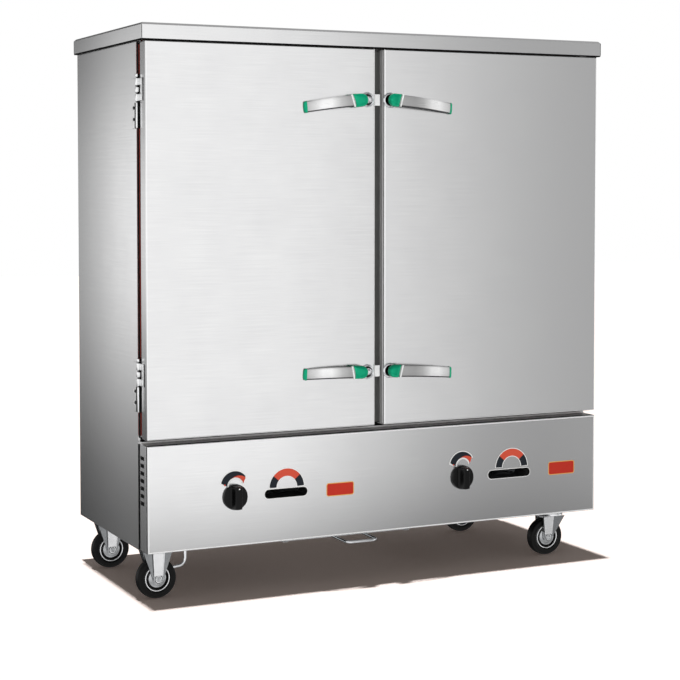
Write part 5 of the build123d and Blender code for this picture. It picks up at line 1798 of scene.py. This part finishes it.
@dataclass
class BentRod:
    """The rod that hangs beside the front left caster, bent towards it at its foot."""

    radius: float = 3.7
    bend: float = 20.0
    inset: float = 13.0

    def make(self) -> None:
        """Carries the wire down and round the bend."""
        low, high = corners("bent_rod")
        x, y = high[0] - self.inset, (low[1] + high[1]) / 2
        path = np.array([[x, y, high[2] - 1.0], [x, y, low[2] + 6.0], [low[0] + 6.0, y, low[2] + self.radius - 1.0]])
        rod = tube(bent_path(path, self.bend, 12), self.radius, (0.0, 1.0, 0.0))
        fit(rod, "bent_wire_rod", "cabinet", CHROME_WIRE, ("bent_rod",))


# The studio that the steel mirrors: angle in degrees and strength, round the object from the
# front, and up from level in front of it and behind it
ROUND_TONES = (
    (-180, 0.3), (-169, 0.3), (-166.4, 0.38), (-163.3, 0.6), (-159.3, 0.95), (-156.8, 1.05), (-150, 1.06), (-140, 1.25),
    (-15, 1.25), (0, 1.12), (20, 1.1), (23, 1.13), (25, 1.13), (26.2, 1.07), (28, 0.84), (30, 0.62), (32, 0.455),
    (34, 0.335), (37, 0.35), (41, 0.45), (47, 1.1), (62, 1.2), (120, 1.2), (150, 1.0), (160, 0.6), (180, 0.3),
)
LEVEL_TONES = (
    (-90, 1.0), (-45, 1.0), (-34, 0.5), (-24, 0.36), (-19.4, 0.53), (-15.1, 0.87), (-12.5, 1.0), (9, 1.0), (14, 0.9),
    (25, 0.38), (90, 0.3),
)
REAR_TONES = (
    (-90, 0.3), (-40, 0.15), (-14, 0.08), (-10.7, 0.11), (-9, 0.2), (-5.7, 0.76), (-3.5, 1.05), (0.5, 1.08), (2, 0.95),
    (4, 0.45), (8, 0.35), (20, 0.35), (90, 0.35),
)


@dataclass
class Studio:
    """Floor, lamps, surroundings and the camera at the photograph's viewpoint.

    Sizes and spots are in millimetres, turns and spreads in degrees. The soft lamp is its
    width, height and strength.
    """

    floor_size: float = 30000.0
    floor_tone: float = 0.9
    floor_tint: tuple[float, float, float] = (1.22, 1.08, 1.02)
    floor_glow: tuple[float, float, float] = (0.052, 0.041, 0.036)
    ambient: tuple[float, float, float] = (0.085, 0.0815, 0.078)
    rear_blend: float = 0.25
    sun: float = 2.9
    sun_spread: float = 0.8
    sun_tilt: float = 2.43
    soft: tuple[float, float, float] = (3000.0, 2000.0, 60.0)
    soft_spot: tuple[float, float, float] = (-1200.0, -3400.0, 1300.0)
    soft_turn: tuple[float, float] = (90.0, -20.0)
    focal: float = 88.39
    sensor: float = 36.0
    shift: float = -0.12
    far: float = 100000.0
    eye: tuple[float, float, float] = (-2158.5, -4514.9, 1127.2)
    turn: tuple[float, float] = (87.405, -25.615)

    def link(self, name: str, data: bpy.types.ID) -> bpy.types.Object:
        """Adds an object to the scene.

        Args:
            name: Name of the object.
            data: Its mesh, lamp or lens.

        Returns:
            The object.
        """
        thing = bpy.data.objects.new(name, data)
        bpy.context.scene.collection.objects.link(thing)
        return thing

    def make_floor(self) -> bpy.types.Object:
        """A pale floor that a camera sees a little brighter and warmer, white with its shadow kept.

        Returns:
            The floor.
        """
        mesh = bpy.data.meshes.new("floor")
        spots = np.column_stack((CORNERS[[2, 3, 0, 1]] * self.floor_size / 2 * MM, np.zeros(4)))
        mesh.from_pydata(spots, [], [(0, 1, 2, 3)])
        floor = self.link("floor", mesh)
        paint = bpy.data.materials.new("pale_matt_floor")
        paint.use_nodes = True
        tree = paint.node_tree
        tree.nodes.clear()
        seen = add_node(tree, "ShaderNodeLightPath").outputs["Is Camera Ray"]
        tones = {6: (*(self.floor_tone,) * 3, 1.0), 7: (*self.floor_tint, 1.0)}
        tone = add_node(tree, "ShaderNodeMix", tones, {0: seen}, data_type="RGBA").outputs[2]
        shade = add_node(tree, "ShaderNodeBsdfDiffuse", links={"Color": tone}).outputs[0]
        glow = add_node(tree, "ShaderNodeEmission", {"Color": (*self.floor_glow, 1.0)}, {"Strength": seen}).outputs[0]
        both = add_node(tree, "ShaderNodeAddShader", links={0: shade, 1: glow}).outputs[0]
        add_node(tree, "ShaderNodeOutputMaterial", links={"Surface": both})
        mesh.materials.append(paint)
        floor.visible_glossy = False
        return floor

    def make_surroundings(self) -> None:
        """White behind for the camera, a graded studio in reflections, and soft warm grey light."""
        world = bpy.data.worlds.new("studio")
        bpy.context.scene.world = world
        world.use_nodes = True
        tree = world.node_tree
        tree.nodes.clear()
        way = add_node(tree, "ShaderNodeTexCoord").outputs["Generated"]
        part = add_node(tree, "ShaderNodeSeparateXYZ", links={0: way}).outputs
        ahead = add_node(tree, "ShaderNodeMath", {1: -1.0}, {0: part[1]}, operation="MULTIPLY").outputs[0]
        round_turn = add_node(tree, "ShaderNodeMath", links={0: part[0], 1: ahead}, operation="ARCTAN2").outputs[0]
        rise = add_node(tree, "ShaderNodeMath", links={0: part[2]}, operation="ARCSINE").outputs[0]
        round_turn, rise = (
            add_node(tree, "ShaderNodeMath", links={0: turn}, operation="DEGREES").outputs[0]
            for turn in (round_turn, rise)
        )
        turned = ramp(tree, round_turn, (-180, 180), ROUND_TONES)
        level, rear = (ramp(tree, rise, (-90, 90), tones) for tones in (LEVEL_TONES, REAR_TONES))
        span = {1: -self.rear_blend, 2: self.rear_blend, 3: 0.0, 4: 1.0}
        behind = add_node(tree, "ShaderNodeMapRange", span, {0: part[1]}).outputs[0]
        height = add_node(tree, "ShaderNodeMix", links={0: behind, 2: level, 3: rear}, data_type="FLOAT").outputs[0]
        seen = add_node(tree, "ShaderNodeMath", links={0: turned, 1: height}, operation="MULTIPLY").outputs[0]
        path = add_node(tree, "ShaderNodeLightPath").outputs
        straight = {0: path["Is Camera Ray"], 1: path["Is Transmission Ray"]}
        clear = add_node(tree, "ShaderNodeMath", links=straight, operation="MAXIMUM").outputs[0]
        # Steel shows the graded studio to the camera, but throws none of it on the floor
        fresh = add_node(tree, "ShaderNodeMath", {1: 0.5}, {0: path["Diffuse Depth"]}, operation="LESS_THAN").outputs[0]
        mirrored = {0: path["Is Glossy Ray"], 1: fresh}
        shown = add_node(tree, "ShaderNodeMath", links=mirrored, operation="MULTIPLY").outputs[0]
        dim = {6: (*self.ambient, 1.0)}
        lit = add_node(tree, "ShaderNodeMix", dim, {0: shown, 7: seen}, data_type="RGBA").outputs[2]
        white = {7: (1.0, 1.0, 1.0, 1.0)}
        colour = add_node(tree, "ShaderNodeMix", white, {0: clear, 6: lit}, data_type="RGBA").outputs[2]
        glow = add_node(tree, "ShaderNodeBackground", {"Strength": 1.0}, {"Color": colour})
        add_node(tree, "ShaderNodeOutputWorld", links={"Surface": glow.outputs[0]})

    def make_lamps(self, floor: bpy.types.Object) -> None:
        """One overhead lamp for the shadow below, and one broad soft lamp in front.

        Args:
            floor: The floor, which the soft lamp spares, so that its shadow stays deep.
        """
        top = bpy.data.lights.new("overhead", "SUN")
        top.energy, top.angle = self.sun, np.radians(self.sun_spread)
        overhead = self.link("overhead", top)
        overhead.rotation_euler = (np.radians(-self.sun_tilt), 0.0, 0.0)
        soft = bpy.data.lights.new("front_soft", "AREA")
        width, height, soft.energy = self.soft
        soft.shape, soft.size, soft.size_y = "RECTANGLE", width * MM, height * MM
        lamp = self.link("front_soft", soft)
        lamp.location = tuple(c * MM for c in self.soft_spot)
        lamp.rotation_euler = (np.radians(self.soft_turn[0]), 0.0, np.radians(self.soft_turn[1]))
        overhead.visible_glossy = lamp.visible_glossy = False
        spared = bpy.data.collections.new("front_soft_receivers")
        spared.objects.link(floor)
        spared.collection_objects[0].light_linking.link_state = "EXCLUDE"
        lamp.light_linking.receiver_collection = spared

    def make_camera(self) -> None:
        """The camera, as fitted to the outline of the object."""
        lens = bpy.data.cameras.new("camera")
        lens.lens, lens.sensor_width, lens.shift_y = self.focal, self.sensor, self.shift
        lens.clip_end = self.far * MM
        camera = self.link("camera", lens)
        camera.location = tuple(c * MM for c in self.eye)
        camera.rotation_euler = (np.radians(self.turn[0]), 0.0, np.radians(self.turn[1]))
        bpy.context.scene.camera = camera

    def make(self) -> None:
        """Builds the whole studio."""
        bpy.context.scene.view_settings.view_transform = "Standard"
        floor = self.make_floor()
        self.make_surroundings()
        self.make_lamps(floor)
        self.make_camera()


def make_side(side: str, sign: float) -> None:
    """Builds one side's latches, knob, dial, door, gasket and hinges.

    Args:
        side: Which side.
        sign: Minus one to the left of the middle and plus one to the right.
    """
    meeting = corners(f"door_skin_{side}")[1 if sign < 0 else 0][0]
    for level, z in LATCH_LEVELS.items():
        Latch(level, side, meeting + sign * PIVOT_INSET, z, LATCH_DROOPS[level, side]).make()
    low, high = corners(f"knob_{side}")
    x, _, z = (low + high) / 2
    right, up = DIAL_SHIFTS[side]
    Knob(side, x, z).make()
    Dial(side, x + right, z + up).make()
    Door(side).make()
    Gasket(side).make()
    for level, foot in HINGE_LEVELS.items():
        Hinge(side, level, foot).make()


def main() -> None:
    """Dresses the CAD nodes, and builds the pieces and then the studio."""
    logging.basicConfig(level=logging.INFO, format="%(name)s: %(message)s")
    dress_nodes()
    for side, sign in SIDES:
        make_side(side, sign)
    Mullion().make()
    Joints().make()
    LightingMark("left", -306.5, 285.0, (-308.5, 269.5)).make()
    LightingMark("right", 419.5, 288.0, (403.5, 269.5), (-64.5, 79.0), 54.0, 33.0).make()
    LabelPlate("left", -142.5, 267.0).make()
    LabelPlate("right", 593.5, 273.0, 92.0, 40.0).make()
    for corner in WHEELS:
        Wheel(corner).make()
    TrayPull().make()
    BentRod().make()
    Studio().make()


if __name__ == "__main__":
    main()
